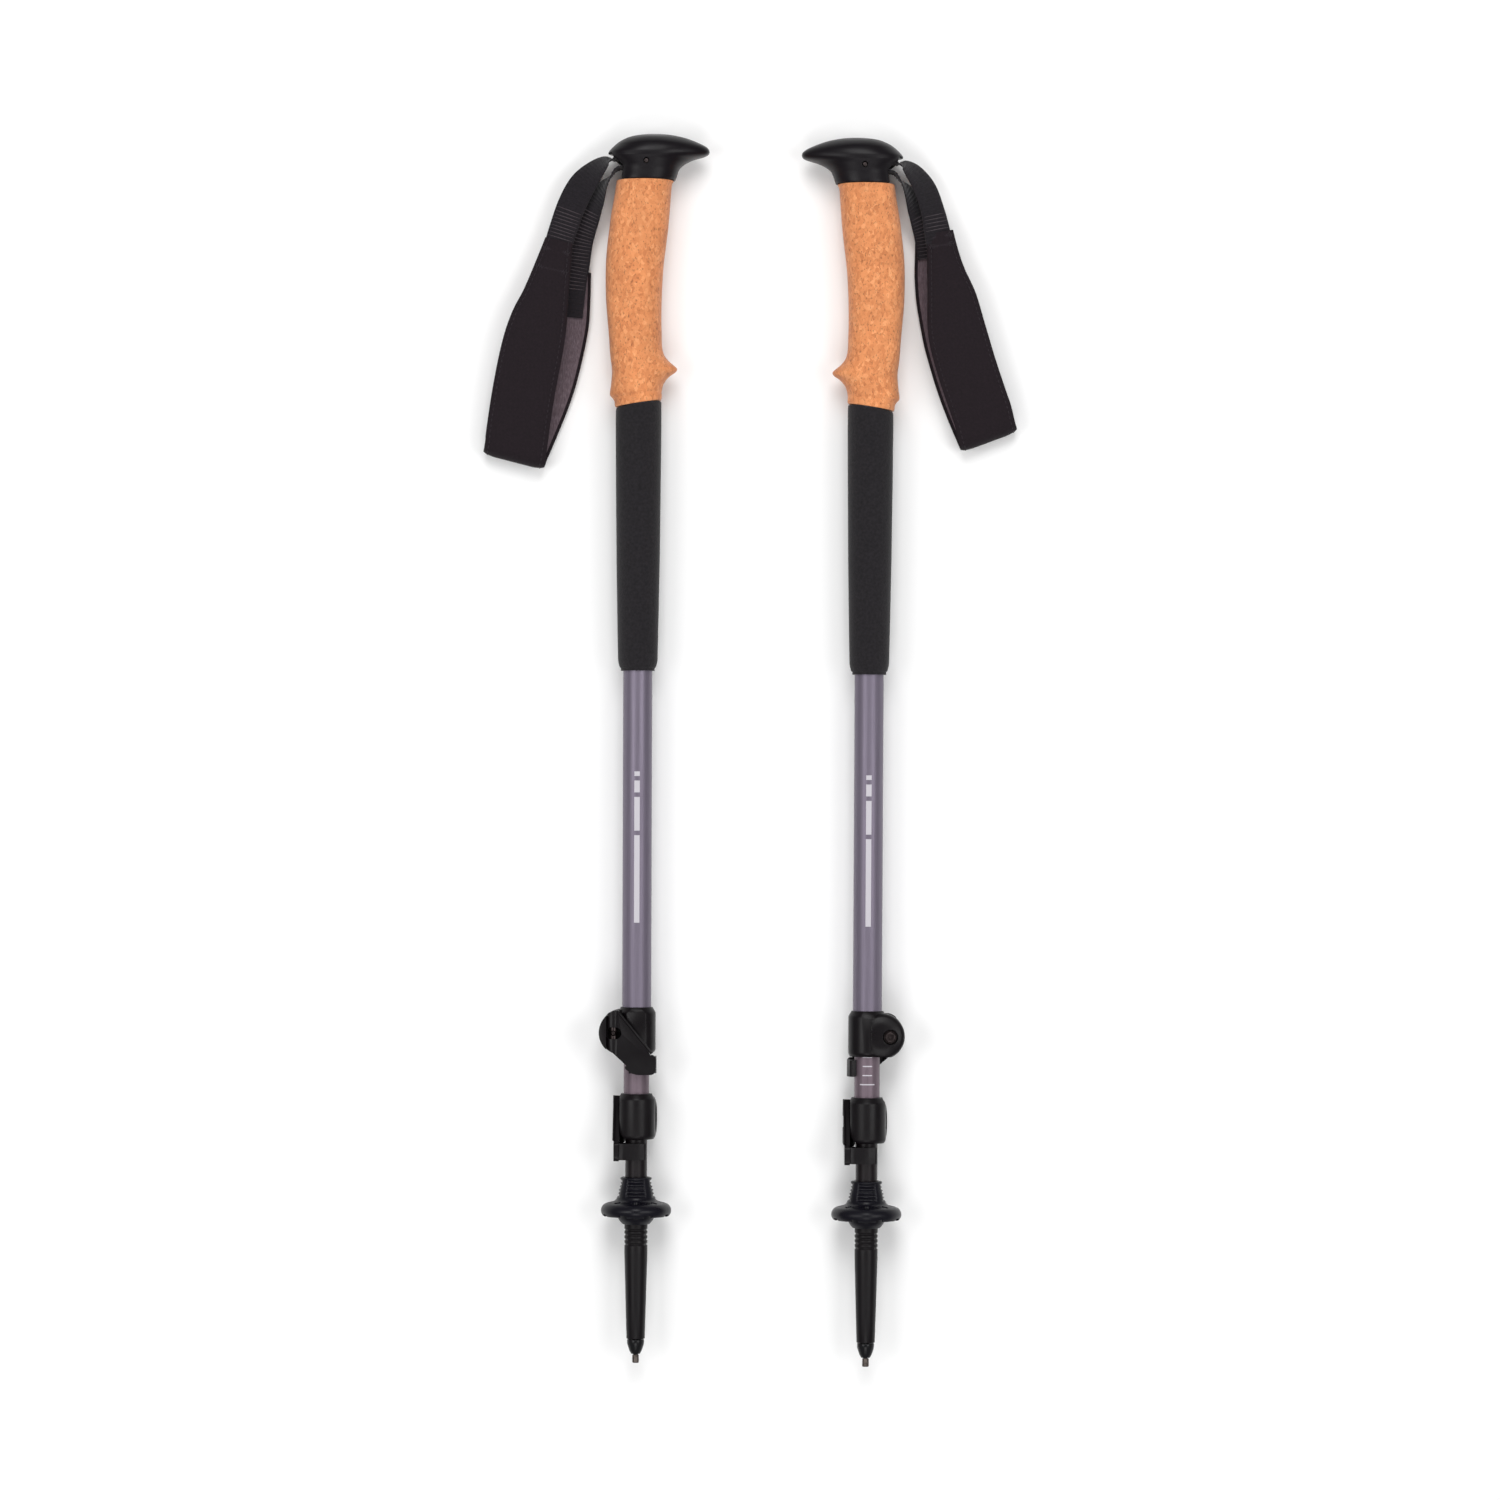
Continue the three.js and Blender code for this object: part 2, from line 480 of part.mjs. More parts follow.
function lock(prefix, outer, inner) {
  const group = new THREE.Group();
  group.add(
    bodyOf(`${prefix}_collar`, lockCollar(outer, inner), LOOKS.blackPlastic),
    bodyOf(`${prefix}_lever`, lockLever(inner), LOOKS.blackPlastic),
    bodyOf(`${prefix}_pivot_pin`, lockPin(), LOOKS.steel),
    bodyOf(`${prefix}_screw`, lockScrew(), LOOKS.steel),
    bodyOf(`${prefix}_washer`, lockWasher(), LOOKS.steel));
  return group;
}

/** A strap is built as on the left pole; on the right pole it is mirrored in the pole's own frame. */
const strapMesh = (name, geometry, material, mirrored) =>
  bodyOf(name, mirrored ? geometry.scale(1, -1, 1) : geometry, material);

function pole(side) {
  const group = new THREE.Group();
  const right = side === "right";
  const upperLock = lock(`${side}_upper_lock`, UPPER_R, MIDDLE_R);
  upperLock.position.z = UPPER_LOCK_Z;
  const lowerLock = lock(`${side}_lower_lock`, MIDDLE_R, LOWER_R);
  lowerLock.position.z = LOWER_LOCK_Z;
  lowerLock.rotation.z = right ? Math.PI / 2 : -Math.PI / 2;
  group.add(
    bodyOf(`${side}_grip_head`, gripHead(), LOOKS.blackPlastic),
    bodyOf(`${side}_strap_wedge`, strapWedge(), LOOKS.blackPlastic),
    bodyOf(`${side}_strap_pin`, strapPin(), LOOKS.steel),
    bodyOf(`${side}_cork_grip`, corkGrip(), LOOKS.cork),
    bodyOf(`${side}_grip_core`, gripCore(), LOOKS.blackPlastic),
    bodyOf(`${side}_foam_sleeve`, foamSleeve(), LOOKS.foam),
    bodyOf(`${side}_upper_shaft`, tube(UPPER_R, WALL, UPPER_BOTTOM, TUBE_TOP), LOOKS.upperTube),
    bodyOf(`${side}_middle_shaft`, tube(MIDDLE_R, WALL, MIDDLE_BOTTOM, MIDDLE_TOP), LOOKS.middleTube),
    bodyOf(`${side}_middle_shaft_bush`, bush(MIDDLE_R - WALL, MIDDLE_TOP), LOOKS.blackPlastic),
    bodyOf(`${side}_lower_shaft`, tube(LOWER_R, WALL, LOWER_BOTTOM, LOWER_TOP), LOOKS.lowerTube),
    bodyOf(`${side}_lower_shaft_bush`, bush(LOWER_R - WALL, LOWER_TOP), LOOKS.blackPlastic),
    bodyOf(`${side}_tip_body`, tipBody(), LOOKS.blackPlastic),
    bodyOf(`${side}_basket`, basket(), LOOKS.blackPlastic),
    bodyOf(`${side}_tip_ferrule`, tipFerrule(), LOOKS.blackPlastic),
    bodyOf(`${side}_carbide_tip`, carbideTip(), LOOKS.carbide),
    strapMesh(`${side}_strap_upper_web`, strapUpperWeb(side), LOOKS.webbing, right),
    strapMesh(`${side}_strap_lower_web`, strapLowerWeb(side), LOOKS.webbing, right),
    strapMesh(`${side}_strap_band`, strapBand(side), LOOKS.webbing, right),
    strapMesh(`${side}_strap_lining`, strapLining(side), LOOKS.lining, right),
    upperLock, lowerLock);
  return group;
}

/** Lays a standing pole along +Y, rolled about its axis, leaning in plan and resting on ear and head. */
function layDown(standing, roll, lean, x, y) {
  const laid = new THREE.Group();
  const turn = new THREE.Matrix4()
    .makeRotationZ(-THREE.MathUtils.degToRad(lean))
    .multiply(new THREE.Matrix4().makeRotationX(-Math.PI / 2 - PITCH))
    .multiply(new THREE.Matrix4().makeRotationZ(roll));
  laid.quaternion.setFromRotationMatrix(turn);
  laid.position.set(x, y, 0);
  laid.add(standing);
  return laid;
}

const pair = new THREE.Group();
pair.add(layDown(pole("left"), 0, LEAN[0], -POLE_SPACING / 2, 0));
pair.add(layDown(pole("right"), Math.PI, LEAN[1], POLE_SPACING / 2, RIGHT_SHIFT));
pair.updateMatrixWorld(true);
const bounds = new THREE.Box3().setFromObject(pair, true);
const middle = bounds.getCenter(vec());
pair.position.set(-middle.x, -middle.y, -bounds.min.z);
pair.updateMatrixWorld(true);

export default pair;
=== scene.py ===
import json
import math

import bmesh
import bpy
from mathutils import Matrix, Vector


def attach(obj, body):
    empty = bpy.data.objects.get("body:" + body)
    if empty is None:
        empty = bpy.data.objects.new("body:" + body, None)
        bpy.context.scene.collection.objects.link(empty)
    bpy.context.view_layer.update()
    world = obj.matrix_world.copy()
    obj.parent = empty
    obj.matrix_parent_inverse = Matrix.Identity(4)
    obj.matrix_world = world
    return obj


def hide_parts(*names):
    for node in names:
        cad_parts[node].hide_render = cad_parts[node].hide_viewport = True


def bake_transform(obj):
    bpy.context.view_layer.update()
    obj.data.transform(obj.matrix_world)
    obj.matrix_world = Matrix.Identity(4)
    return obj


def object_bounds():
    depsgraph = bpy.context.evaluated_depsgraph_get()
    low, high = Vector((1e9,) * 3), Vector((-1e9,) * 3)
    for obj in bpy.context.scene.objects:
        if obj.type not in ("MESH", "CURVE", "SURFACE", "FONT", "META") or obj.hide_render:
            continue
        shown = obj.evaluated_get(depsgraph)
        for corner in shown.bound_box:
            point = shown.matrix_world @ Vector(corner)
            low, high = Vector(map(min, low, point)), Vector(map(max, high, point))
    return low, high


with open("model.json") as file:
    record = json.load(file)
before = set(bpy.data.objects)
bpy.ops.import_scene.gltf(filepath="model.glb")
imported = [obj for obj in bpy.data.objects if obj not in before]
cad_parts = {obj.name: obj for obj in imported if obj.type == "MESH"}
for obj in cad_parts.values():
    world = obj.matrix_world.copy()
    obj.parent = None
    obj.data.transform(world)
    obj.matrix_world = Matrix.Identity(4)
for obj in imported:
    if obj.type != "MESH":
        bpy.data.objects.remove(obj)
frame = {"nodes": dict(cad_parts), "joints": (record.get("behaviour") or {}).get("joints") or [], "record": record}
CAD_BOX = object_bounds()

# Sizes are in millimetres in each pole's own frame: z up from the tip, x to the nose, y sideways.
MM = 0.001
SIDES = ("left", "right")
TUBES = {"upper": (8, 172, 648), "middle": (7, 124.4, 625), "lower": (6, 86, 600)}  # radius, bottom, top
WALL = 0.7
PIN = Vector((-12.5, -9.5, 11))  # a clamp's pivot pin, in the clamp's own frame
CROSS_PIN = (4.1, 0, 659.8)  # the middle of the pin that crosses the head
SLOT = {"x": -13, "z": 659.2, "r": 5.8, "half": 9.6}  # the head's strap slot and its round end
SLANT = 0.16  # rise of the grip's lower end for each millimetre towards the nose


# ---------------------------------------------------------------- places, from the frame
def named(items, name):
    return next(item for item in items if item["name"] == name)


def pole_matrix(side):
    """The pole's own frame in the row frame, with the scale from millimetres."""
    tip = named(frame["record"]["mounts"], f"{side}_tip_end")
    swing = named(frame["joints"], f"{side}_strap_swing")
    up = -Vector(tip["axis"]).normalized()
    sideways = Vector(swing["axis"]).normalized()
    nose = sideways.cross(up)
    turn = Matrix((nose, sideways, up)).transposed().to_4x4()
    return Matrix.Translation(tip["pos_m"]) @ turn @ Matrix.Scale(MM, 4)


def lock_matrix(side, which):
    """A clamp's own frame: its ears towards -x, its lever towards -y, z from the collar's bottom."""
    pole = pole_matrix(side)
    hinge = named(frame["joints"], f"{side}_{which}_lever_hinge")
    pin = pole.inverted() @ Vector(hinge["pos_m"])
    roll = math.atan2(pin.y, pin.x) - math.atan2(PIN.y, PIN.x)
    return pole @ Matrix.Translation((0, 0, pin.z - PIN.z)) @ Matrix.Rotation(roll, 4, "Z")


# ---------------------------------------------------------------- materials
class Shader:
    """A material with a Principled shader and short calls to add nodes to it."""

    def __init__(self, name, color, roughness, metallic=0.0, **sockets):
        self.material = bpy.data.materials.new(name)
        self.material.use_nodes = True
        self.tree = self.material.node_tree
        self.bsdf = self.tree.nodes["Principled BSDF"]
        self.set("Base Color", (*color, 1))
        self.set("Roughness", roughness)
        self.set("Metallic", metallic)
        for socket, value in sockets.items():
            self.set(socket.replace("_", " "), value)

    def set(self, socket, value):
        self.bsdf.inputs[socket].default_value = value

    def node(self, kind, inputs=None, **settings):
        made = self.tree.nodes.new("ShaderNode" + kind)
        for key, value in settings.items():
            setattr(made, key, value)
        for key, value in (inputs or {}).items():
            if isinstance(value, bpy.types.NodeSocket):
                self.tree.links.new(value, made.inputs[key])
            else:
                made.inputs[key].default_value = value
        return made.outputs

    def link(self, output, socket):
        self.tree.links.new(output, self.bsdf.inputs[socket])

    def place(self, scale=(1, 1, 1)):
        """Object coordinates in metres, stretched by scale."""
        point = self.node("TexCoord")["Object"]
        return self.node("Mapping", {"Vector": point, "Scale": scale})["Vector"]

    def noise(self, vector, scale, detail=3.0, rough=0.5):
        settings = {"Vector": vector, "Scale": scale, "Detail": detail, "Roughness": rough}
        return self.node("TexNoise", settings)["Fac"]

    def ramp(self, factor, *stops):
        made = self.tree.nodes.new("ShaderNodeValToRGB")
        self.tree.links.new(factor, made.inputs["Fac"])
        elements = made.color_ramp.elements
        while len(elements) < len(stops):
            elements.new(0.5)
        for element, (position, color) in zip(elements, stops):
            element.position = position
            element.color = (*color, 1)
        return made.outputs["Color"]

    def spread(self, factor, low, high):
        """A factor around a half, as a number from low to high."""
        inputs = {"Value": factor, "From Min": 0.3, "From Max": 0.7, "To Min": low, "To Max": high}
        return self.node("MapRange", inputs)["Result"]

    def bump(self, height, strength, distance, normal=None):
        inputs = {"Height": height, "Strength": strength, "Distance": distance}
        if normal is not None:
            inputs["Normal"] = normal
        return self.node("Bump", inputs)["Normal"]


def grey(value):
    return (value, value, value)


def moulded_plastic(name, color, roughness, grain=1400, depth=0.00006):
    """Spark-eroded satin plastic: a fine grain, with slightly shinier patches from handling."""
    s = Shader(name, color, roughness, Specular_IOR_Level=0.16)
    at = s.place()
    s.link(s.spread(s.noise(at, 55), roughness - 0.07, roughness + 0.09), "Roughness")
    s.link(s.bump(s.noise(at, grain, 2), 0.35, depth), "Normal")
    return s.material


def cork(name):
    """Pressed cork: tan granules a millimetre or two across with dark pores and specks."""
    s = Shader(name, (0.6, 0.27, 0.12), 0.78, Sheen_Weight=0.12, Sheen_Roughness=0.6)
    at = s.place((1, 0.72, 1))
    warp = s.node("TexNoise", {"Vector": at, "Scale": 420.0, "Detail": 2.0})["Color"]
    bent = s.node("VectorMath", {0: warp, "Scale": 0.0016}, operation="SCALE")["Vector"]
    bent = s.node("VectorMath", {0: at, 1: bent}, operation="ADD")["Vector"]
    cells = s.node("TexVoronoi", {"Vector": bent, "Scale": 620.0})
    tones = s.ramp(cells["Color"], (0.0, (0.52, 0.165, 0.05)), (0.35, (0.66, 0.232, 0.076)),
                   (0.7, (0.72, 0.27, 0.094)), (1.0, (0.83, 0.355, 0.142)))
    blotch = s.ramp(s.noise(at, 90, 4), (0.35, grey(0.86)), (0.7, grey(1.0)))
    specks = s.noise(s.place((1, 0.5, 1)), 1250, 3, 0.62)
    dark = s.ramp(specks, (0.33, grey(0.36)), (0.43, grey(1.0)))
    inputs = {"Factor": 1.0, 6: tones, 7: blotch}
    toned = s.node("Mix", inputs, data_type="RGBA", blend_type="MULTIPLY")[2]
    inputs = {"Factor": 0.8, 6: toned, 7: dark}
    s.link(s.node("Mix", inputs, data_type="RGBA", blend_type="MULTIPLY")[2], "Base Color")
    edges = s.node("TexVoronoi", {"Vector": bent, "Scale": 620.0}, feature="DISTANCE_TO_EDGE")["Distance"]
    first = s.bump(edges, 0.22, 0.0003)
    s.link(s.bump(specks, 0.5, 0.0004, first), "Normal")
    return s.material


def foam(name):
    """Closed-cell foam: matte black with a fine open skin."""
    s = Shader(name, (0.011, 0.0095, 0.0115), 0.92, Sheen_Weight=0.1, Sheen_Roughness=0.5,
               Specular_IOR_Level=0.25)
    at = s.place()
    cells = s.node("TexVoronoi", {"Vector": at, "Scale": 1500.0}, feature="SMOOTH_F1")["Distance"]
    first = s.bump(cells, 0.5, 0.0003)
    s.link(s.bump(s.noise(at, 260, 3), 0.25, 0.0004, first), "Normal")
    dark, light = (0.0075, 0.0065, 0.008), (0.0145, 0.0125, 0.015)
    s.link(s.ramp(s.noise(at, 700, 2), (0.3, dark), (0.7, light)), "Base Color")
    return s.material


def anodised(name, color, roughness, metallic):
    """Drawn and anodised tube: faint lines along it and a soft cloudiness in the gloss."""
    s = Shader(name, color, roughness, metallic, Specular_IOR_Level=0.25)
    along = s.noise(s.place((1, 0.012, 1)), 2600, 2)
    cloud = s.noise(s.place((1, 0.2, 1)), 70, 3)
    s.link(s.spread(cloud, roughness - 0.04, roughness + 0.06), "Roughness")
    s.link(s.bump(along, 0.10, 0.00004), "Normal")
    low, high = [tuple(c * k for c in color) for k in (0.93, 1.07)]
    s.link(s.ramp(along, (0.3, low), (0.7, high)), "Base Color")
    return s.material


def turned_metal(name, color, roughness, wear):
    """Machined metal with fine scratches and darker stains."""
    s = Shader(name, color, roughness, 1.0)
    at = s.place()
    stains = s.noise(at, 800, 4, 0.65)
    s.link(s.ramp(stains, (0.35, tuple(c * wear for c in color)), (0.65, color)), "Base Color")
    s.link(s.spread(s.noise(at, 300), roughness - 0.08, roughness + 0.12), "Roughness")
    s.link(s.bump(stains, 0.3, 0.00008), "Normal")
    return s.material


def woven(name, color, thread, fuzz, tint=1.25):
    """Tight plain weave, thread metres apart, with uneven yarns and a little fuzz."""
    s = Shader(name, color, 0.85, Sheen_Weight=fuzz, Sheen_Roughness=0.45, Specular_IOR_Level=0.2)
    at = s.place()
    crossings = []
    for axis in ("X", "Y"):
        inputs = {"Vector": at, "Scale": 1 / thread / 6.2832 * 0.5, "Distortion": 0.4, "Detail": 1.0}
        crossings.append(s.node("TexWave", inputs, bands_direction=axis)["Fac"])
    weave = s.node("Math", {0: crossings[0], 1: crossings[1]}, operation="MULTIPLY")["Value"]
    yarns = s.noise(at, 900, 3, 0.6)
    first = s.bump(weave, 0.35, 0.0002)
    s.link(s.bump(yarns, 0.3, 0.00025, first), "Normal")
    low, high = tuple(c * 0.8 for c in color), tuple(c * tint for c in color)
    s.link(s.ramp(yarns, (0.3, low), (0.7, high)), "Base Color")
    return s.material


def brushed_lining(name):
    """Short-napped lining: a soft lilac grey with lighter fibres lying along it."""
    s = Shader(name, (0.12, 0.085, 0.115), 0.95, Sheen_Weight=0.3, Sheen_Roughness=0.4,
               Specular_IOR_Level=0.15)
    s.set("Sheen Tint", (0.75, 0.66, 0.74, 1))
    fibres = s.noise(s.place((1, 0.25, 1)), 1500, 4, 0.7)
    s.link(s.ramp(fibres, (0.3, (0.075, 0.053, 0.063)), (0.5, (0.102, 0.076, 0.088)),
                  (0.72, (0.15, 0.115, 0.13))), "Base Color")
    s.link(s.bump(fibres, 0.6, 0.0004), "Normal")
    return s.material


MATERIALS = {
    "black_plastic": moulded_plastic("moulded_black", (0.0042, 0.0031, 0.004), 0.34),
    "head_plastic": moulded_plastic("head_black", (0.0052, 0.0038, 0.0054), 0.34, 1800, 0.00004),
    "gloss_ferrule": moulded_plastic("glossy_black", (0.007, 0.007, 0.008), 0.2, 600, 0.00003),
    "basket_plastic": moulded_plastic("basket_black", (0.0046, 0.0042, 0.0074), 0.3, 1200, 0.00004),
    "cork": cork("pressed_cork"),
    "foam": foam("closed_cell_foam"),
    "upper_tube": anodised("anodised_violet_grey", (0.155, 0.134, 0.176), 0.4, 0.45),
    "middle_tube": anodised("anodised_mauve_grey", (0.145, 0.11, 0.132), 0.4, 0.45),
    "lower_tube": anodised("anodised_black", (0.0062, 0.0038, 0.005), 0.32, 0.15),
    "dark_steel": turned_metal("blackened_steel", (0.045, 0.036, 0.036), 0.34, 0.6),
    "pale_ink": moulded_plastic("pale_ink", (0.5, 0.48, 0.52), 0.5),
    "carbide": turned_metal("ground_carbide", (0.13, 0.11, 0.1), 0.42, 0.45),
    "webbing": woven("polyester_webbing", (0.0085, 0.0068, 0.009), 0.0009, 0.14, 1.6),
    "band": woven("polyester_twill", (0.0095, 0.0056, 0.008), 0.0006, 0.05),
    "lining": brushed_lining("brushed_lining"),
    # The ribs' light colour is painted highlight: the lit crests of the ribs painted into their yarn colour.
    "painted_rib_highlight": woven("painted_rib_highlight", (0.05, 0.04, 0.046), 0.0004, 0.1),
    "thread": woven("sewing_thread", (0.02, 0.0145, 0.019), 0.0004, 0.1),
}


# ---------------------------------------------------------------- mesh helpers
def smooth_between(knots, t):
    """A smooth row of numbers at t from 0 to 1 along rows of knots."""
    place = min(max(t, 0.0), 1.0) * (len(knots) - 1)
    i = min(int(place), len(knots) - 2)
    f = place - i
    rows = [knots[min(max(i + k, 0), len(knots) - 1)] for k in (-1, 0, 1, 2)]
    weights = (-f + 2 * f * f - f ** 3, 2 - 5 * f * f + 3 * f ** 3,
               f + 4 * f * f - 3 * f ** 3, f ** 3 - f * f)
    return [sum(w * row[c] for w, row in zip(weights, rows)) / 2 for c in range(len(knots[0]))]


def skin(rings, closed=False):
    """A mesh over rings of points; closed joins the last ring to the first, else the ends are filled."""
    n = len(rings[0])
    points = [p for ring in rings for p in ring]
    faces = []
    for i in range(len(rings) if closed else len(rings) - 1):
        low, high = i * n, ((i + 1) % len(rings)) * n
        faces += [(low + j, low + (j + 1) % n, high + (j + 1) % n, high + j) for j in range(n)]
    if not closed:
        faces.append(tuple(reversed(range(n))))
        faces.append(tuple(range(len(points) - n, len(points))))
    mesh = bpy.data.meshes.new("skin")
    mesh.from_pydata(points, [], faces)
    return tidy(mesh)


def tidy(mesh):
    """Merges doubled points, drops empty faces and turns the faces outwards."""
    bm = bmesh.new()
    bm.from_mesh(mesh)
    bmesh.ops.remove_doubles(bm, verts=bm.verts, dist=1e-4)
    bmesh.ops.recalc_face_normals(bm, faces=bm.faces)
    bm.to_mesh(mesh)
    bm.free()
    return mesh


def fillet(profile, steps=4):
    """A closed outline from (x, y) or (x, y, radius) corners, each corner with a radius made round."""
    out = []
    count = len(profile)
    for i, corner in enumerate(profile):
        here = Vector(corner[:2])
        radius = corner[2] if len(corner) > 2 else 0
        before = Vector(profile[i - 1][:2]) - here
        after = Vector(profile[(i + 1) % count][:2]) - here
        if not radius or before.length < 1e-6 or after.length < 1e-6:
            out.append(tuple(here))
            continue
        reach = min(radius, before.length * 0.48, after.length * 0.48)
        start, end = here + before.normalized() * reach, here + after.normalized() * reach
        for k in range(steps + 1):
            f = k / steps
            out.append(tuple(start * (1 - f) ** 2 + here * 2 * f * (1 - f) + end * f * f))
    return out


def turned(profile, sides=96, change=None):
    """A body turned about z from (radius, height, rounding) corners of its closed half section."""
    outline = fillet(profile)
    rings = []
    for j in range(sides):
        angle = 2 * math.pi * j / sides
        ring = []
        for r, z in outline:
            reach = change(r, z, angle) if change else r
            ring.append((reach * math.cos(angle), reach * math.sin(angle), z))
        rings.append(ring)
    return skin(rings, closed=True)


def tube(radius, wall, bottom, top):
    return turned([(radius - wall, bottom, 0.2), (radius, bottom, 0.2), (radius, top, 0.2),
                   (radius - wall, top, 0.2)])


def bar(radius, start, end, sides=48):
    """A round bar between two points."""
    start, end = Vector(start), Vector(end)
    along = (end - start).normalized()
    side = along.orthogonal().normalized()
    other = along.cross(side)
    ring = [(side * math.cos(a) + other * math.sin(a)) * radius
            for a in (2 * math.pi * k / sides for k in range(sides))]
    return skin([[tuple(p + at) for p in ring] for at in (start, end)])


def block(low, high):
    corners = [(low[0], low[1]), (high[0], low[1]), (high[0], high[1]), (low[0], high[1])]
    return skin([[(x, y, z) for x, y in corners] for z in (low[2], high[2])])


def slab(outline, low, high, axis):
    """An outline with thickness: in x and z with thickness along y, or in x and y along z."""
    put = (lambda a, b, c: (a, c, b)) if axis == "y" else (lambda a, b, c: (a, b, c))
    return skin([[put(a, b, c) for a, b in outline] for c in (low, high)])


def combine(base, *steps):
    """Booleans: base, then (operation, mesh) steps, such as ("DIFFERENCE", cutter)."""
    body = bpy.data.objects.new("base", base)
    bpy.context.collection.objects.link(body)
    others = []
    for operation, mesh in steps:
        other = bpy.data.objects.new("other", mesh)
        bpy.context.collection.objects.link(other)
        others.append(other)
        modifier = body.modifiers.new(operation, "BOOLEAN")
        modifier.operation, modifier.object, modifier.solver = operation, other, "EXACT"
    mesh = baked(body)
    for other in [*others, body]:
        bpy.data.objects.remove(other)
    return tidy(mesh)


def baked(obj):
    """The object's mesh with its modifiers applied."""
    bpy.context.view_layer.update()
    return bpy.data.meshes.new_from_object(obj.evaluated_get(bpy.context.evaluated_depsgraph_get()))


def cut(base, *cutters):
    return combine(base, *[("DIFFERENCE", cutter) for cutter in cutters])


def add_piece(name, mesh, matrix, body, slot, look=None, nodes=(), bevel=0.0, sharp=32):
    """A finished piece: placed in the row frame, shaded, with its material, riding on its body."""
    obj = bpy.data.objects.new(name, mesh)
    bpy.context.collection.objects.link(obj)
    if bevel:
        modifier = obj.modifiers.new("edges", "BEVEL")
        modifier.width, modifier.segments, modifier.limit_method = bevel, 2, "ANGLE"
        modifier.angle_limit = math.radians(38)
        mesh = baked(obj)
        obj.modifiers.clear()
        obj.data = mesh
    mesh.transform(matrix)
    if matrix.determinant() < 0:
        mesh.flip_normals()
    mesh.shade_smooth()
    mesh.set_sharp_from_angle(angle=math.radians(sharp))
    mesh.materials.clear()
    mesh.materials.append(MATERIALS[look or slot])
    if body:
        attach(obj, body)
    if nodes:
        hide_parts(*nodes)
    return obj


# ---------------------------------------------------------------- head and grips
HEAD = [  # height, rear, front, half width, narrowing to the nose
    (650.4, -11.9, 19.6, 14.2, 0.1), (650.8, -12.4, 20.1, 14.7, 0.1), (655.4, -11.7, 21.6, 15, 0.12),
    (657.6, -11.5, 23.0, 15.4, 0.18), (659.6, -13.0, 25.6, 15.8, 0.27), (661.6, -15.4, 29.8, 16.1, 0.38),
    (663.2, -16.8, 35.4, 16.35, 0.5), (664.3, -17.1, 37.8, 16.4, 0.52), (665.6, -17.0, 38.6, 16.4, 0.52),
    (667.2, -15.8, 38.4, 16.1, 0.5), (668.8, -14.2, 36.8, 15.6, 0.47), (670.3, -12.5, 34.0, 14.9, 0.44),
    (671.9, -10.2, 30.2, 13.5, 0.4), (673.4, -7.2, 26.0, 11.4, 0.36), (674.5, -3.9, 21.6, 8.8, 0.3),
    (675.3, 0.6, 17.0, 5.6, 0.2), (675.75, 5.4, 12.4, 2.2, 0.1),
]
CORK = [  # height, rear, front, half width, narrowing
    (650.0, -11.8, 18.3, 14.2, 0.12), (649.7, -12.6, 18.8, 14.9, 0.12), (647.4, -12.9, 17.9, 14.8, 0.12),
    (640, -14.0, 17.3, 14.6, 0.12), (632, -15.4, 16.7, 14.5, 0.12), (624, -16.4, 16.0, 14.4, 0.12),
    (614, -17.6, 14.8, 14.3, 0.12), (604.2, -18.3, 13.6, 14.2, 0.12), (594, -18.4, 12.9, 14, 0.12),
    (584, -18.1, 12.5, 13.9, 0.12), (574, -17.3, 12.4, 13.7, 0.12), (564.6, -16.5, 12.6, 13.5, 0.12),
    (559, -16.1, 12.8, 13.5, 0.14), (554.6, -15.8, 13.8, 13.6, 0.2), (551.2, -15.4, 16.1, 13.7, 0.3),
    (548.6, -15, 19.1, 13.7, 0.36), (546.6, -14.8, 21.1, 13.7, 0.38), (544.6, -14.7, 20.2, 13.7, 0.34),
    (541.8, -14.9, 16.9, 13.6, 0.26), (538.2, -15.3, 14.2, 13.5, 0.16), (535.4, -15.8, 13.2, 13.8, 0.12),
    (533.6, -15.7, 12.9, 13.6, 0.12), (532.2, -14.4, 12.7, 12.8, 0.12), (530.6, -13.4, 12.7, 12.6, 0.12),
    (528.4, -13.1, 12.7, 12.6, 0.12), (527.4, -12.5, 12.2, 12.3, 0.12),
]


def grip_ring(z, rear, front, half, narrowing, slant=0.0, sides=96):
    """A ring a little squarer than an ellipse, narrower towards the nose and tilted by slant."""
    middle, reach = (rear + front) / 2, (front - rear) / 2
    ring = []
    for k in range(sides):
        t = 2 * math.pi * k / sides
        c, s = math.cos(t), math.sin(t)
        x = middle + reach * math.copysign(abs(c) ** 0.9, c)
        y = half * math.copysign(abs(s) ** 0.9, s) * (1 - narrowing * c / 2)
        ring.append((x, y, z + slant * x))
    return ring


def grip_slant(z):
    """The grip's lower end is cut at a slant, and its rings tilt to it from the nub down."""
    return SLANT * min(max((545 - z) / 16, 0), 1)


def head_mesh():
    """The shell with its strap slot, open to the rear and below, and the cross pin's hole."""
    shell = skin([grip_ring(*smooth_between(HEAD, k / 60)) for k in range(61)])
    half, x, z = SLOT["half"], SLOT["x"], SLOT["z"]
    return cut(shell,
               bar(SLOT["r"], (x, -half, z), (x, half, z), 64),
               block((-26, -half, z - 3.4), (x, half, z + 5.7)),
               block((x, -half, z - 2.2), (0.5, half, z + 4.6)),
               block((-26, -half, 645), (x + 4.5, half, z)),
               bar(1.65, *[(CROSS_PIN[0], y, CROSS_PIN[2]) for y in (-20, 20)]))


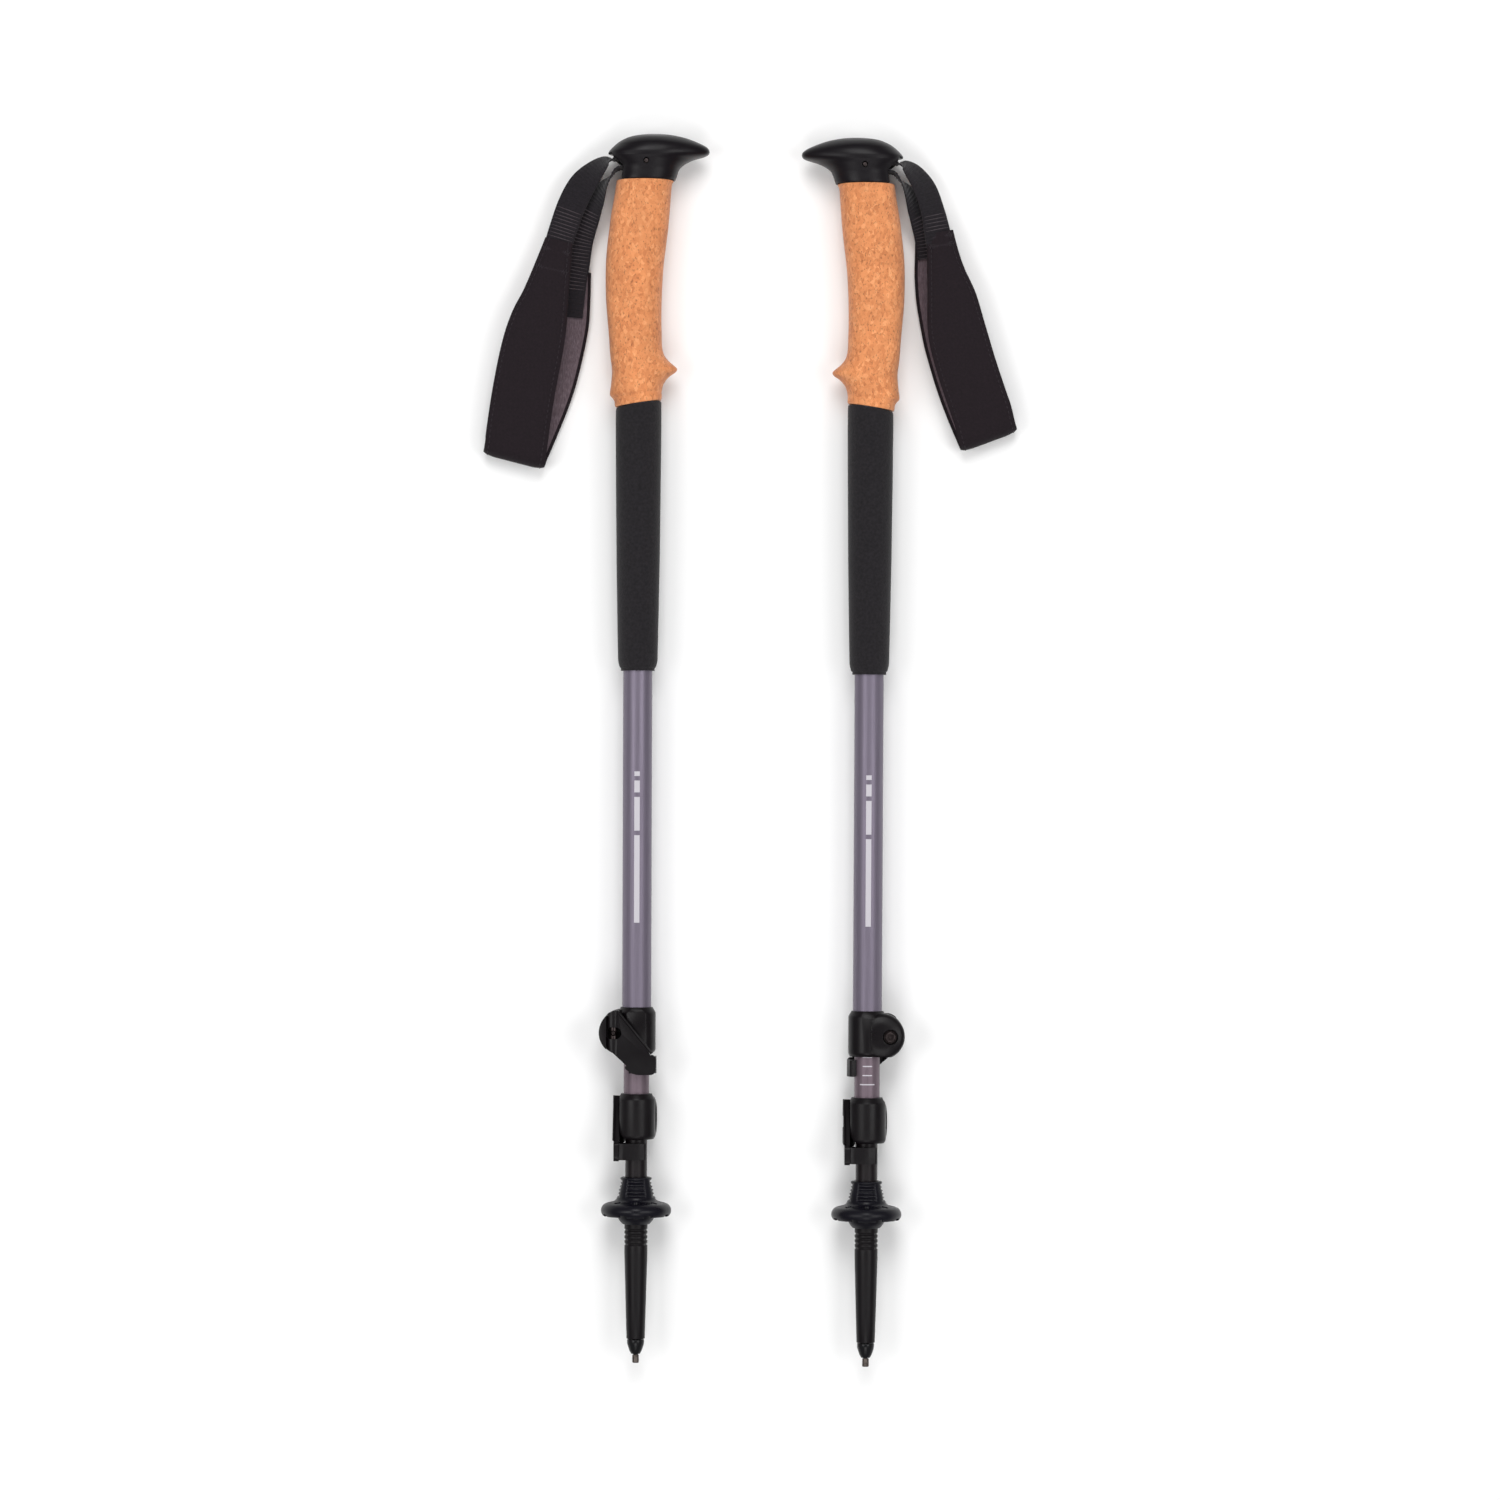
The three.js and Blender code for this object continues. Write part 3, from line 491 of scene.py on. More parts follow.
def cork_mesh():
    """The cork's outside from top to bottom, then its plain bore back up to the top."""
    outside = [smooth_between(CORK, k / 120) for k in range(121)]
    rings = [grip_ring(*row, grip_slant(row[0])) for row in outside]
    bore, bottom, top = 10, CORK[-1][0], CORK[0][0]
    rings += [grip_ring(z, -bore, bore, bore, 0, grip_slant(z)) for z in (bottom, top)]
    return skin(rings, closed=True)


FOAM = [(8.3, 380.4), (9.3, 380.4, 0.2), (9.3, 381.9, 0.2), (9.9, 382.2, 0.8), (10.9, 385.6, 2.2),
        (11.15, 398, 6), (11.9, 440, 10), (12.4, 490, 10), (12.6, 518, 3), (12.5, 527, 1.4), (8.3, 527)]


def foam_mesh():
    """The sleeve, its top cut at the grip's slant."""
    mesh = turned(FOAM, 128)
    for vertex in mesh.vertices:
        vertex.co.z += SLANT * vertex.co.x * min(max((vertex.co.z - 516) / 8, 0), 1)
    return mesh


def build_grip(side):
    matrix, body = pole_matrix(side), f"{side}_upper_section"
    add_piece(f"{side}_head", head_mesh(), matrix, body, "black_plastic", "head_plastic",
              [f"{side}_grip_head"], bevel=0.35)
    pin = turned([(0, -15.2), (1.1, -15.2, 0.2), (1.5, -14.8, 0.2), (1.5, 14.8, 0.2), (1.1, 15.2, 0.2),
                  (0, 15.2)], 32)
    pin.transform(Matrix.Translation(CROSS_PIN) @ Matrix.Rotation(math.pi / 2, 4, "X"))
    add_piece(f"{side}_head_pin", pin, matrix, body, "steel", "dark_steel", [f"{side}_strap_pin"])
    add_piece(f"{side}_cork", cork_mesh(), matrix, body, "cork", nodes=[f"{side}_cork_grip"], sharp=50)
    add_piece(f"{side}_foam", foam_mesh(), matrix, body, "foam", nodes=[f"{side}_foam_sleeve"])


# ---------------------------------------------------------------- tubes
def build_tubes(side):
    matrix = pole_matrix(side)
    for part, (radius, bottom, top) in TUBES.items():
        add_piece(f"{side}_{part}_tube", tube(radius, WALL, bottom, top), matrix, f"{side}_{part}_section",
                  f"{part}_tube", nodes=[f"{side}_{part}_shaft"])


DASHES = ((242, 290), (292.5, 311), (313.5, 320), (322.5, 325))  # the broken stripe's heights
TICKS = range(155, 565, 5)  # the scale's heights, every fifth tick a long one
INK = 0.03


def printed_patch(radius, z_low, z_high, y_side, half):
    """A patch of ink on a tube, on its front or back, as a thin curved sheet."""
    rings = []
    for z in (z_low, z_high):
        arc = [math.asin(-half / radius + 2 * half / radius * k / 8) for k in range(9)]
        outer = [(radius * math.sin(a), y_side * radius * math.cos(a), z) for a in arc]
        inner = [(x * 0.994, y * 0.994, z) for x, y, _ in reversed(outer)]
        rings.append(outer + inner)
    return skin(rings)


def joined(meshes):
    bm = bmesh.new()
    for mesh in meshes:
        bm.from_mesh(mesh)
    whole = bpy.data.meshes.new("joined")
    bm.to_mesh(whole)
    bm.free()
    return whole


def build_prints(side):
    """Plain marks: a broken stripe on two sides of the upper tube, a scale on the middle one."""
    radius = {part: TUBES[part][0] + INK for part in TUBES}
    stripe = [printed_patch(radius["upper"], low, high, y, 1.5) for y in (-1, 1) for low, high in DASHES]
    scale = [printed_patch(radius["middle"], z, z + 0.6, 1, 2.6 if i % 5 else 4)
             for i, z in enumerate(TICKS)]
    for part, name, patches in (("upper", "stripe", stripe), ("middle", "scale", scale)):
        add_piece(f"{side}_printed_{name}", joined(patches), pole_matrix(side), f"{side}_{part}_section",
                  f"{part}_tube", "pale_ink")


# ---------------------------------------------------------------- clamps
def pin_bar(radius, low, high, sides=48, shift=0.0):
    """A round bar on the tension screw's line, or shift beside it, from y low to y high."""
    return bar(radius, (PIN.x + shift, low, PIN.z), (PIN.x + shift, high, PIN.z), sides)


def collar_scoop(y):
    """A slanting flat at the front or the back of the collar's upper rim."""
    scoop = block((-30, 0, 0), (30, 8, 12))
    scoop.transform(Matrix.Translation((0, y * 10.6, 20.2)) @ Matrix.Scale(y, 4, (0, 1, 0))
                    @ Matrix.Rotation(math.radians(24), 4, "X"))
    return tidy(scoop)


def collar_ears():
    """The thick ear on the screw head's side, and the round guard beside the lever."""
    ear = turned([(0, -5.5), (12.5, -5.5, 0.2), (12.5, 8.4, 1.2), (11.2, 10, 1.2), (7.4, 11.2, 2),
                  (0, 11.3)], 96)
    ear.transform(Matrix.Translation((-8, 0, 11.3)) @ Matrix.Rotation(-math.pi / 2, 4, "X"))
    ear = combine(ear, ("INTERSECT", block((-30, -20, 0), (-2, 20, 24))))
    guard = combine(bar(12.5, (-8, -12.3, 11.3), (-8, -5, 11.3), 96),
                    ("INTERSECT", block((-30, -20, 0.01), (-16.5, 0, 23.9))))
    return ear, guard


def collar_mesh(outer, inner):
    body = turned([(0, 0), (9.5, 0, 0.5), (10.5, 1.6, 0.8), (10.5, 22, 0.6), (9.2, 24.3, 0.4),
                   (8.8, 25, 0.2), (0, 25)], 96)
    corner = cut(block((-30, -20, -3), (30, -3.4, 5.7)), bar(5.7, (-40, -3.4, 5.7), (40, -3.4, 5.7), 64))
    bore = turned([(0, -1), (inner + 0.3, -1), (inner + 0.3, 1.1), (outer + 0.3, 1.1), (outer + 0.3, 26),
                   (0, 26)])
    slit = block((-30, -0.75, -2), (1 - outer, 0.75, 27))
    lever_room = block((-8, -20, -1), (20, -9.1, 27))
    cuts = (bore, slit, lever_room, pin_bar(1.55, -20, 20, 24), pin_bar(4.2, 7.4, 20))
    return combine(body, ("DIFFERENCE", corner), *[("DIFFERENCE", collar_scoop(y)) for y in (-1, 1)],
                   *[("UNION", ear) for ear in collar_ears()], *[("DIFFERENCE", cutter) for cutter in cuts])


def lever_outline():
    """The lever seen along y: a round hub, a broad diagonal arm and a rounded tail."""
    hub_x, hub_z, hub_r, rise, first, last = -10.8, 11.2, 9.4, 12.2, 1.4, math.pi + 0.75
    hub = [(hub_x + hub_r * math.cos(a), hub_z + (rise if a < math.pi else hub_r) * math.sin(a))
           for a in (first + (last - first) * k / 28 for k in range(29))]
    arm = [(-7.1, -7.6, 2), (-1.6, -11.8, 5), (10.6, -11.8, 3), (11, -2.2, 1.6), (9, -0.7, 1)]
    return hub + fillet(arm, 6)


def tail_outline(clear):
    """The lever's hooked tail seen from above, with its inside clear of the thinner tube."""
    first, last = 0.62, -math.pi / 3
    angles = [first + (last - first) * k / 20 for k in range(21)]
    outside = [(-4, -12.3), (7.6, -12.3, 1.6), (11, -8.6, 3), (11.1, 0, 3), (9.6, 4.8, 1.2),
               (8.6, 5.7, 0.6)]
    inside = [(clear * math.cos(a), clear * math.sin(a)) for a in angles]
    return fillet(outside + inside + [(-4, -9.4)], 6)


def lever_mesh(inner):
    """The plate ahead of the pin, the two cams round it, the tail and the raised rim of the arm."""
    ahead = block((PIN.x, -30, -20), (30, 30, 40))
    plate = combine(slab(lever_outline(), -12.3, -9.4, "y"), ("INTERSECT", ahead))
    cams = combine(bar(3.6, (PIN.x, PIN.y, -4), (PIN.x, PIN.y, 24), 64),
                   ("INTERSECT", slab(lever_outline(), -15.5, -3.5, "y")))
    rim = bar(0.75, (-9.3, -12.2, 21.8), (8.6, -12.2, -0.1), 16)
    tail = slab(tail_outline(inner + 0.5), -11, -2, "z")
    window = [("DIFFERENCE", pin_bar(3.3, -20, 0, shift=shift)) for shift in (-1.1, 1.1)]
    return combine(plate, ("UNION", tail), ("UNION", cams), ("UNION", rim), *window,
                   ("DIFFERENCE", bar(2.5, (PIN.x, PIN.y, -5), (PIN.x, PIN.y, 25), 32)))


def barrel_mesh():
    """The barrel nut that the lever swings on."""
    body = turned([(0, 1.5), (2.2, 1.5, 0.4), (2.2, 18.8, 0.4), (0, 18.8)], 32)
    body.transform(Matrix.Translation((PIN.x, PIN.y, 0)))
    return cut(body, pin_bar(1.55, -20, 0, 24))


def screw_mesh():
    """The tension screw, its hexagon socket cut by a six-sided bar."""
    body = turned([(0, -11.6), (0.9, -11.6, 0.1), (1.25, -11.2, 0.1), (1.25, 8.6), (2.9, 8.6, 0.2),
                   (2.9, 11.2, 0.6), (0, 11.2)], 48)
    body.transform(Matrix.Translation((PIN.x, 0, PIN.z)) @ Matrix.Rotation(-math.pi / 2, 4, "X"))
    return cut(body, pin_bar(1.5, 9.8, 13, 6))


def washer_mesh():
    ring = turned([(1.55, 7.7), (3.7, 7.7, 0.15), (3.7, 8.3, 0.15), (1.55, 8.3)], 48)
    ring.transform(Matrix.Translation((PIN.x, 0, PIN.z)) @ Matrix.Rotation(-math.pi / 2, 4, "X"))
    return ring


def build_lock(side, which, outer, inner):
    """A clamp on the end of the outer tube, its lever's tail round the inner one."""
    matrix, prefix, body = lock_matrix(side, which), f"{side}_{which}", f"{side}_{outer}_section"
    outer_radius, inner_radius = TUBES[outer][0], TUBES[inner][0]
    add_piece(f"{prefix}_collar", collar_mesh(outer_radius, inner_radius), matrix, body, "black_plastic",
              nodes=[f"{prefix}_lock_collar"], bevel=0.3)
    add_piece(f"{prefix}_lever_arm", lever_mesh(inner_radius), matrix, f"{prefix}_lever", "black_plastic",
              nodes=[f"{prefix}_lock_lever"], bevel=0.35)
    add_piece(f"{prefix}_barrel", barrel_mesh(), matrix, body, "steel", "dark_steel",
              [f"{prefix}_lock_pivot_pin"])
    add_piece(f"{prefix}_tension_screw", screw_mesh(), matrix, f"{prefix}_screw", "steel", "dark_steel",
              [f"{prefix}_lock_screw"])
    add_piece(f"{prefix}_flat_washer", washer_mesh(), matrix, body, "steel", "dark_steel",
              [f"{prefix}_lock_washer"])


# ---------------------------------------------------------------- foot
def tip_shape(r, z, angle):
    """Thread grooves on four sides of the tip, with plain bands between them."""
    if 62.5 < z < 74.5 and 5.6 < r < 6.35:
        return 6.35 - (6.35 - r) * abs(math.cos(2 * angle)) ** 0.3
    return r


def tip_mesh():
    threads = []
    for z in (72.8, 70.2, 67.6, 65.0):
        threads += [(6.35, z + 0.95, 0.2), (5.85, z + 0.5, 0.3), (5.85, z - 0.1, 0.3), (6.35, z - 0.4, 0.2)]
    return turned([(0, 100), (4.4, 100, 0.5), (5.0, 99, 0.5), (5.0, 85.7), (6.35, 85.7, 0.3), *threads,
                   (6.35, 60, 4), (5.75, 38, 8), (5.05, 13.2, 0.5), (0, 13.2)], 96, tip_shape)


def basket_shape(r, z, angle):
    """Four recesses round the boss, with ribs across them like rungs, and a gently scalloped rim."""
    if 90.8 < z < 101.2 and r > 7.2:
        across = abs((angle * 4 / math.pi + 1) % 2 - 1)  # 0 in the middle of a recess, 1 between two
        inside = min(1.0, max(0.0, (0.74 - across) / 0.12)) * min(1.0, (101.2 - z) / 0.9, (z - 90.8) / 0.9)
        rung = 0.75 * (0.5 + 0.5 * math.cos(2 * math.pi * z / 1.9)) ** 2
        return r - inside * (1.15 - rung)
    if r > 17:
        return r + 0.12 * math.cos(8 * angle)
    return r


def boss_radius(z):
    radii = [(10.75,), (10.4,), (10.15,), (9.7,), (9.15,), (8.8,), (8.55,)]
    return smooth_between(radii, (z - 90) / 12)[0]


def basket_mesh():
    """The screw-on basket, with eight holes through its disc and eight notches in its lower rim."""
    boss = [(boss_radius(z), z) for z in (90.4 + 0.3 * k for k in range(38))]
    body = turned([
        (6.65, 76.2), (7.4, 76.2, 0.6), (9.4, 78.4, 1.2), (10.6, 81.6, 0.8), (11, 83.2, 0.4),
        (16, 83.4, 0.5), (16.5, 80.6, 0.4), (18, 80.6, 0.7), (19.2, 82.6, 1.2), (19.2, 85, 1.6),
        (17.6, 87.4, 2.4), (12.4, 88.7, 1.5), (11.1, 89.6, 0.6), *boss, (8.2, 102, 0.4), (6.65, 102),
    ], 192, basket_shape)
    cutters = []
    for k in range(8):
        c, s = math.cos(k * math.pi / 4), math.sin(k * math.pi / 4)
        cutters.append(bar(1.9, (14 * c, 14 * s, 70), (14 * c, 14 * s, 100), 32))
        gap = block((15, -2.2, 70), (22, 2.2, 82))
        gap.transform(Matrix.Rotation((k + 0.5) * math.pi / 4, 4, "Z"))
        cutters.append(gap)
    return cut(body, *cutters)


def build_foot(side):
    matrix, body = pole_matrix(side), f"{side}_lower_section"
    add_piece(f"{side}_tip_sleeve", tip_mesh(), matrix, body, "black_plastic", nodes=[f"{side}_tip_body"])
    add_piece(f"{side}_basket_disc", basket_mesh(), matrix, f"{side}_basket", "black_plastic",
              "basket_plastic", [f"{side}_basket"], bevel=0.2)
    ferrule = turned([(0, 12.9), (4.7, 12.9, 0.4), (4.7, 10.6, 1), (3.4, 6.6, 1), (2.4, 4.9, 0.3),
                      (1.5, 4.9), (1.5, 11), (0, 11)], 64)
    add_piece(f"{side}_ferrule", ferrule, matrix, body, "gloss_ferrule", nodes=[f"{side}_tip_ferrule"])
    carbide = turned([(0, 10.6), (1.2, 10.6), (1.2, 4.6), (1.8, 4.4, 0.2), (1.85, 0.5, 0.2), (1.6, 0, 0.15),
                      (0.9, 0.35, 0.3), (0, 0.6)], 48)
    add_piece(f"{side}_carbide", carbide, matrix, body, "carbide", nodes=[f"{side}_carbide_tip"])


# ---------------------------------------------------------------- wrist straps
AXIS_UP = 17.2  # height of the pole's axis over the surface beside the strap
LOW, HIGH = 2.2, 14  # heights of the band's two layers at the fold
FOLD_BACK = 6  # from the fold's outermost place to the middle of its bend
# A fold is (x, z, lean). A route's rows are (x, z, height, width, twist), a twist of 0 lying flat and
# of 1 standing on edge.
STRAPS = {
    "left": {
        "fold": (-69, 496.8, 0.25),
        "front": [(-44.2, 617.4, 14.4, 15.6, 0), (-50.8, 588.8, 16.4, 24.6, 0),
                  (-54.8, 574, 17, 31, 0), (-58.6, 558, 17, 34, 0), (-63.4, 533.8, 16, 34.4, 0),
                  (-67.2, 508.2, 14.4, 34.6, 0)],
        "back": [(-65.8, 506.2, LOW, 34.6, 0), (-54.6, 533.8, LOW, 34.6, 0), (-48.7, 553.6, LOW, 34, 0),
                 (-43.4, 574.5, LOW, 31.6, 0), (-39.6, 588.8, LOW, 25.6, 0), (-36, 603, LOW, 19, 0)],
        "upper": [(-5, 663, 17.2, 15.6, 1), (-10, 662.6, 17.2, 16, 1), (-14.4, 661.7, 17.2, 16, 0.97),
                  (-18.4, 661.1, 17.2, 16, 0.72), (-24.3, 656.2, 17, 16, 0.48),
                  (-31.6, 647.6, 16.4, 16, 0.2), (-37.4, 636.5, 15.6, 15.6, 0.05),
                  (-41.8, 624, 14.9, 15.4, 0), (-44.6, 615, 14.3, 15.2, 0), (-46.6, 608, 14.6, 15, 0)],
        "lower": [(-8.6, 657.4, 17.2, 15.4, 1), (-12.6, 656.4, 17.2, 15.4, 1),
                  (-15.6, 652.6, 16.8, 15.4, 0.95), (-18.9, 648.6, 15.8, 15.4, 0.78),
                  (-24, 641, 13.2, 15.4, 0.46), (-27.6, 634, 11, 15.4, 0.3), (-33, 619, 7.2, 15.4, 0.05),
                  (-35.2, 605, 6, 15.4, 0), (-36.8, 596, 6, 15.4, 0), (-39, 576, 5.6, 15.2, 0)],
    },
    "right": {
        "fold": (-65.6, 510.6, 0.36),
        "front": [(-37.4, 624.6, 14.4, 15.4, 0), (-39, 615, 15, 17, 0), (-41.1, 602, 15.8, 21.2, 0),
                  (-44.6, 586.6, 16.8, 27.8, 0), (-47.4, 569, 17, 32.2, 0), (-52.3, 551.4, 16.6, 33, 0),
                  (-58, 534.6, 15.6, 33, 0), (-62.6, 522, 14.4, 33, 0)],
        "back": [(-61.6, 520.4, LOW, 33, 0), (-55.4, 535.4, LOW, 33, 0), (-50, 551.4, LOW, 33, 0),
                 (-44.4, 569, LOW, 31.6, 0), (-38, 586.6, LOW, 25.6, 0), (-34.4, 600, LOW, 20.6, 0),
                 (-33.2, 612, LOW, 17.8, 0), (-32.6, 622, LOW, 16.4, 0)],
        "upper": [(-5, 663, 17.2, 15.6, 1), (-10, 662.6, 17.2, 16, 1), (-14.4, 661.7, 17.2, 16, 0.97),
                  (-18.4, 661.1, 17.2, 16, 0.72), (-23.8, 656.2, 17, 16, 0.53),
                  (-29.6, 647.6, 16.4, 16, 0.42), (-33.6, 636, 15.9, 15.4, 0.34),
                  (-35.9, 626, 15.3, 15, 0.2), (-37.5, 618, 14.6, 14.6, 0.04), (-38.8, 610, 15, 14, 0)],
        "lower": [(-8.6, 657.4, 17.2, 15.4, 1), (-12.6, 656.4, 17.2, 15.4, 1),
                  (-15.6, 652.6, 16.8, 15.4, 0.95), (-18.9, 648.6, 15.8, 15.4, 0.78),
                  (-24, 641, 13.2, 15.4, 0.46), (-27.4, 634, 11, 15.4, 0.3), (-30.4, 626, 8.4, 15.2, 0.1),
                  (-31.8, 620, 6.7, 15, 0), (-32.6, 615, 6, 14.8, 0), (-33.2, 611, 5.8, 14.6, 0)],
    },
}


class Station:
    """A place along a ribbon: its middle, and unit vectors across it and out of its face."""

    def __init__(self, at, across, out, width):
        self.at, self.across, self.out, self.width = at, across, out, width

    def point(self, across, out):
        return tuple(self.at + self.across * across + self.out * out)


def route(knots, steps):
    """The stations of a ribbon that follows a row of knots."""
    rows = [smooth_between(knots, k / steps) for k in range(steps + 1)]
    points = [Vector((x, AXIS_UP - up, z)) for x, z, up, _, _ in rows]
    stations = []
    for k, (_, _, _, width, twist) in enumerate(rows):
        ahead = (points[min(k + 1, steps)] - points[max(k - 1, 0)]).normalized()
        flat = Vector((0, 1, 0)).cross(ahead).normalized()
        edge = ahead.cross(flat).normalized()
        turn = twist * math.pi / 2
        across = flat * math.cos(turn) + edge * math.sin(turn)
        stations.append(Station(points[k], across, ahead.cross(across).normalized(), width))
    return stations


def fold_stations(fold, width, steps=24):
    """The half turn at the band's end, from the upper layer round to the lower."""
    x, z, lean = fold
    radius = (HIGH - LOW) / 2
    out = Vector((-math.sin(lean), 0, -math.cos(lean)))
    across = Vector((-math.cos(lean), 0, math.sin(lean)))
    centre = Vector((x, AXIS_UP - (LOW + HIGH) / 2, z)) - out * FOLD_BACK
    stations = []
    for k in range(steps + 1):
        t = math.pi * k / steps
        face = out * math.sin(t) - Vector((0, 1, 0)) * math.cos(t)
        stations.append(Station(centre + face * radius, across, face, width))
    return stations


def relaxed(stations, rounds=6):
    """Evens out the joins between the layers and the fold, and keeps across turning one way."""
    for previous, s in zip(stations, stations[1:]):
        if previous.across.dot(s.across) < 0:
            s.across = -s.across
    for _ in range(rounds):
        at = [s.at.copy() for s in stations]
        for i in range(1, len(stations) - 1):
            stations[i].at = (at[i - 1] + at[i] * 2 + at[i + 1]) / 4
    return stations


def strap_loop(side):
    """The band's loop, from its sewn end over the fold and back, with its faces turned out of the loop."""
    strap = STRAPS[side]
    front, back = route(strap["front"], 60), route(strap["back"], 60)
    stations = relaxed(front + fold_stations(strap["fold"], strap["front"][-1][3])[1:-1] + back)
    for i, s in enumerate(stations):
        ahead = stations[min(i + 1, len(stations) - 1)].at - stations[max(i - 1, 0)].at
        s.out = ahead.cross(s.across).normalized()
    if stations[0].out.y > 0:  # the first layer lies on top, away from the surface
        for s in stations:
            s.out = -s.out
    return stations


def band_ring(s, thick, inset=0.0, lift=0.0, edge=0.55):
    """A padded section: full in the middle, pulled in along a stitched line near each edge.

    The section is narrower than its station by inset on each side and lifted out of its face by lift.
    """
    half = s.width / 2 - inset
    ring = []
    for face in (1, -1):
        for k in range(21):
            u = -face * (1 - 2 * k / 20)
            distance = half * (1 - abs(u))
            swell = min(1.0, distance / 1.1) ** 0.5 * (edge + (1 - edge) * min(1.0, distance / 6.0))
            seam = 0.22 * math.exp(-((distance - 2.4) / 0.7) ** 2)
            ring.append(s.point(half * u, lift + face * (thick / 2) * max(swell - seam, 0.08)))
    return ring


def ribbed_web(stations, thick, pitch=2.0):
    """Webbing with ribs across it."""
    rings, travelled = [], 0.0
    for i, s in enumerate(stations):
        if i:
            travelled += (s.at - stations[i - 1].at).length
        rib = thick / 2 - 0.34 * (0.5 + 0.5 * math.cos(2 * math.pi * travelled / pitch)) ** 2
        half = s.width / 2
        ring = []
        for face in (1, -1):
            for k in range(9):
                u = -face * (1 - 2 * k / 8)
                ring.append(s.point(half * u, face * (rib if abs(u) < 0.99 else 0.25)))
        rings.append(ring)
    return skin(rings)


def stitch(at, along, out, length, radius):
    """One stitch: a short thread that dips into the cloth at both ends."""
    side = along.cross(out).normalized()
    rings = []
    for k in range(6):
        f = k / 5
        bulge = math.sin(math.pi * f)
        centre = at + along * length * (f - 0.5) + out * radius * (bulge - 0.75)
        size = radius * (0.35 + 0.65 * bulge)
        rings.append([tuple(centre + side * size * math.cos(a) + out * size * math.sin(a))
                      for a in (2 * math.pi * j / 6 for j in range(6))])
    return rings


def stitch_row(stations, across, out, pitch=3.0, length=2.1, radius=0.26):
    """A row of thread stitches along a ribbon, across and out being functions of a station."""
    meshes, travelled, due = [], 0.0, 1.0
    for before, s in zip(stations, stations[1:]):
        start = Vector(before.point(across(before), out(before)))
        end = Vector(s.point(across(s), out(s)))
        step = end - start
        while travelled + step.length >= due and step.length > 1e-6:
            at = start + step * ((due - travelled) / step.length)
            meshes.append(stitch(at, step.normalized(), s.out, length, radius))
            due += pitch
        travelled += step.length
    return meshes


def cross_ribs(stations, thick, low, high, pitch=2.0):
    """The thicker yarns that stand up across both faces of a web, between two heights."""
    meshes, travelled, due = [], 0.0, 0.0
    for before, s in zip(stations, stations[1:]):
        travelled += (s.at - before.at).length
        if travelled >= due:
            due += pitch
            if low < s.at.z < high:
                for out in (s.out, -s.out):
                    at = s.at + out * (thick / 2 - 0.02)
                    meshes.append(stitch(at, s.across, out, s.width - 1.6, 0.3))
    return meshes


def rings_to_mesh(groups):
    points, faces = [], []
    for rings in groups:
        base, n = len(points), len(rings[0])
        points += [p for ring in rings for p in ring]
        for i in range(len(rings) - 1):
            low, high = base + i * n, base + (i + 1) * n
            faces += [(low + j, low + (j + 1) % n, high + (j + 1) % n, high + j) for j in range(n)]
        faces += [tuple(reversed(range(base, base + n))), tuple(range(len(points) - n, len(points)))]
    mesh = bpy.data.meshes.new("stitches")
    mesh.from_pydata(points, [], faces)
    return mesh


def bar_tack(s, reach):
    """Close zigzag stitches across the end of the band, where the webbing is sewn on."""
    along = s.across.cross(s.out).normalized()
    groups = []
    for k in range(26):
        u = -1 + 2 * k / 25
        tilt = 0.5 if k % 2 else -0.5
        at = s.at + s.across * u * (s.width / 2 - 1.6) + s.out * reach
        groups.append(stitch(at, (along + s.across * tilt).normalized(), s.out, 3.2, 0.24))
    return groups


WEBS = (("upper", 330, 1.6), ("lower", 460, 1.5))  # the webs' steps and thickness
RIBS_TOP = 634  # the ribs stay below the part of the webs that bends at the head
RIBS_LOW = 590  # the lowest rib of the lower web


def build_band(side, matrix, loop):
    body = f"{side}_strap"
    band = skin([band_ring(s, 3.2) for s in loop])
    band = add_piece(f"{side}_padded_band", band, matrix, body, "webbing", "band", [f"{side}_strap_band"],
                     sharp=60)
    lining = skin([band_ring(s, 0.9, 1.7, -2.0, 0.9) for s in loop[2:-2]])
    add_piece(f"{side}_band_lining", lining, matrix, body, "lining", nodes=[f"{side}_strap_lining"],
              sharp=60)


def build_stitches(side, matrix, loop):
    """A row of stitches along both edges of the band and two bar tacks at its top."""
    groups = []
    for edge in (-1, 1):
        groups += stitch_row(loop, lambda s: edge * (s.width / 2 - 2.4), lambda s: 1.13)
    groups += bar_tack(loop[3], 1.3) + bar_tack(loop[7], 1.4)
    add_piece(f"{side}_strap_stitches", rings_to_mesh(groups), matrix, f"{side}_strap", "webbing", "thread",
              sharp=80)


def build_ribs(side, matrix, loop):
    lowest = {"upper": loop[0].at.z + 1, "lower": RIBS_LOW}
    ribs = []
    for name, steps, thick in WEBS:
        ribs += cross_ribs(route(STRAPS[side][name], steps), thick, lowest[name], RIBS_TOP)
    # The ribs take the painted highlight colour, lighter than the web they stand on.
    add_piece(f"{side}_web_ribs", rings_to_mesh(ribs), matrix, f"{side}_strap", "webbing", "painted_rib_highlight",
              sharp=80)


def build_webs(side, matrix):
    """The two webs, running from the head at their upper ends out into the strap, baked in place without a body.
    """
    for name, steps, thick in WEBS:
        mesh = ribbed_web(route(STRAPS[side][name], steps), thick)
        web = add_piece(f"{side}_{name}_webbing", mesh, matrix, None, "webbing",
                        nodes=[f"{side}_strap_{name}_web"], sharp=60)
        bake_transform(web)


def build_strap(side):
    matrix = pole_matrix(side)
    if side == "right":  # this pole lies rolled half a turn, and its strap still lies the same way up
        matrix = matrix @ Matrix.Scale(-1, 4, (0, 1, 0))
    loop = strap_loop(side)
    build_band(side, matrix, loop)
    build_stitches(side, matrix, loop)
    build_ribs(side, matrix, loop)
    build_webs(side, matrix)


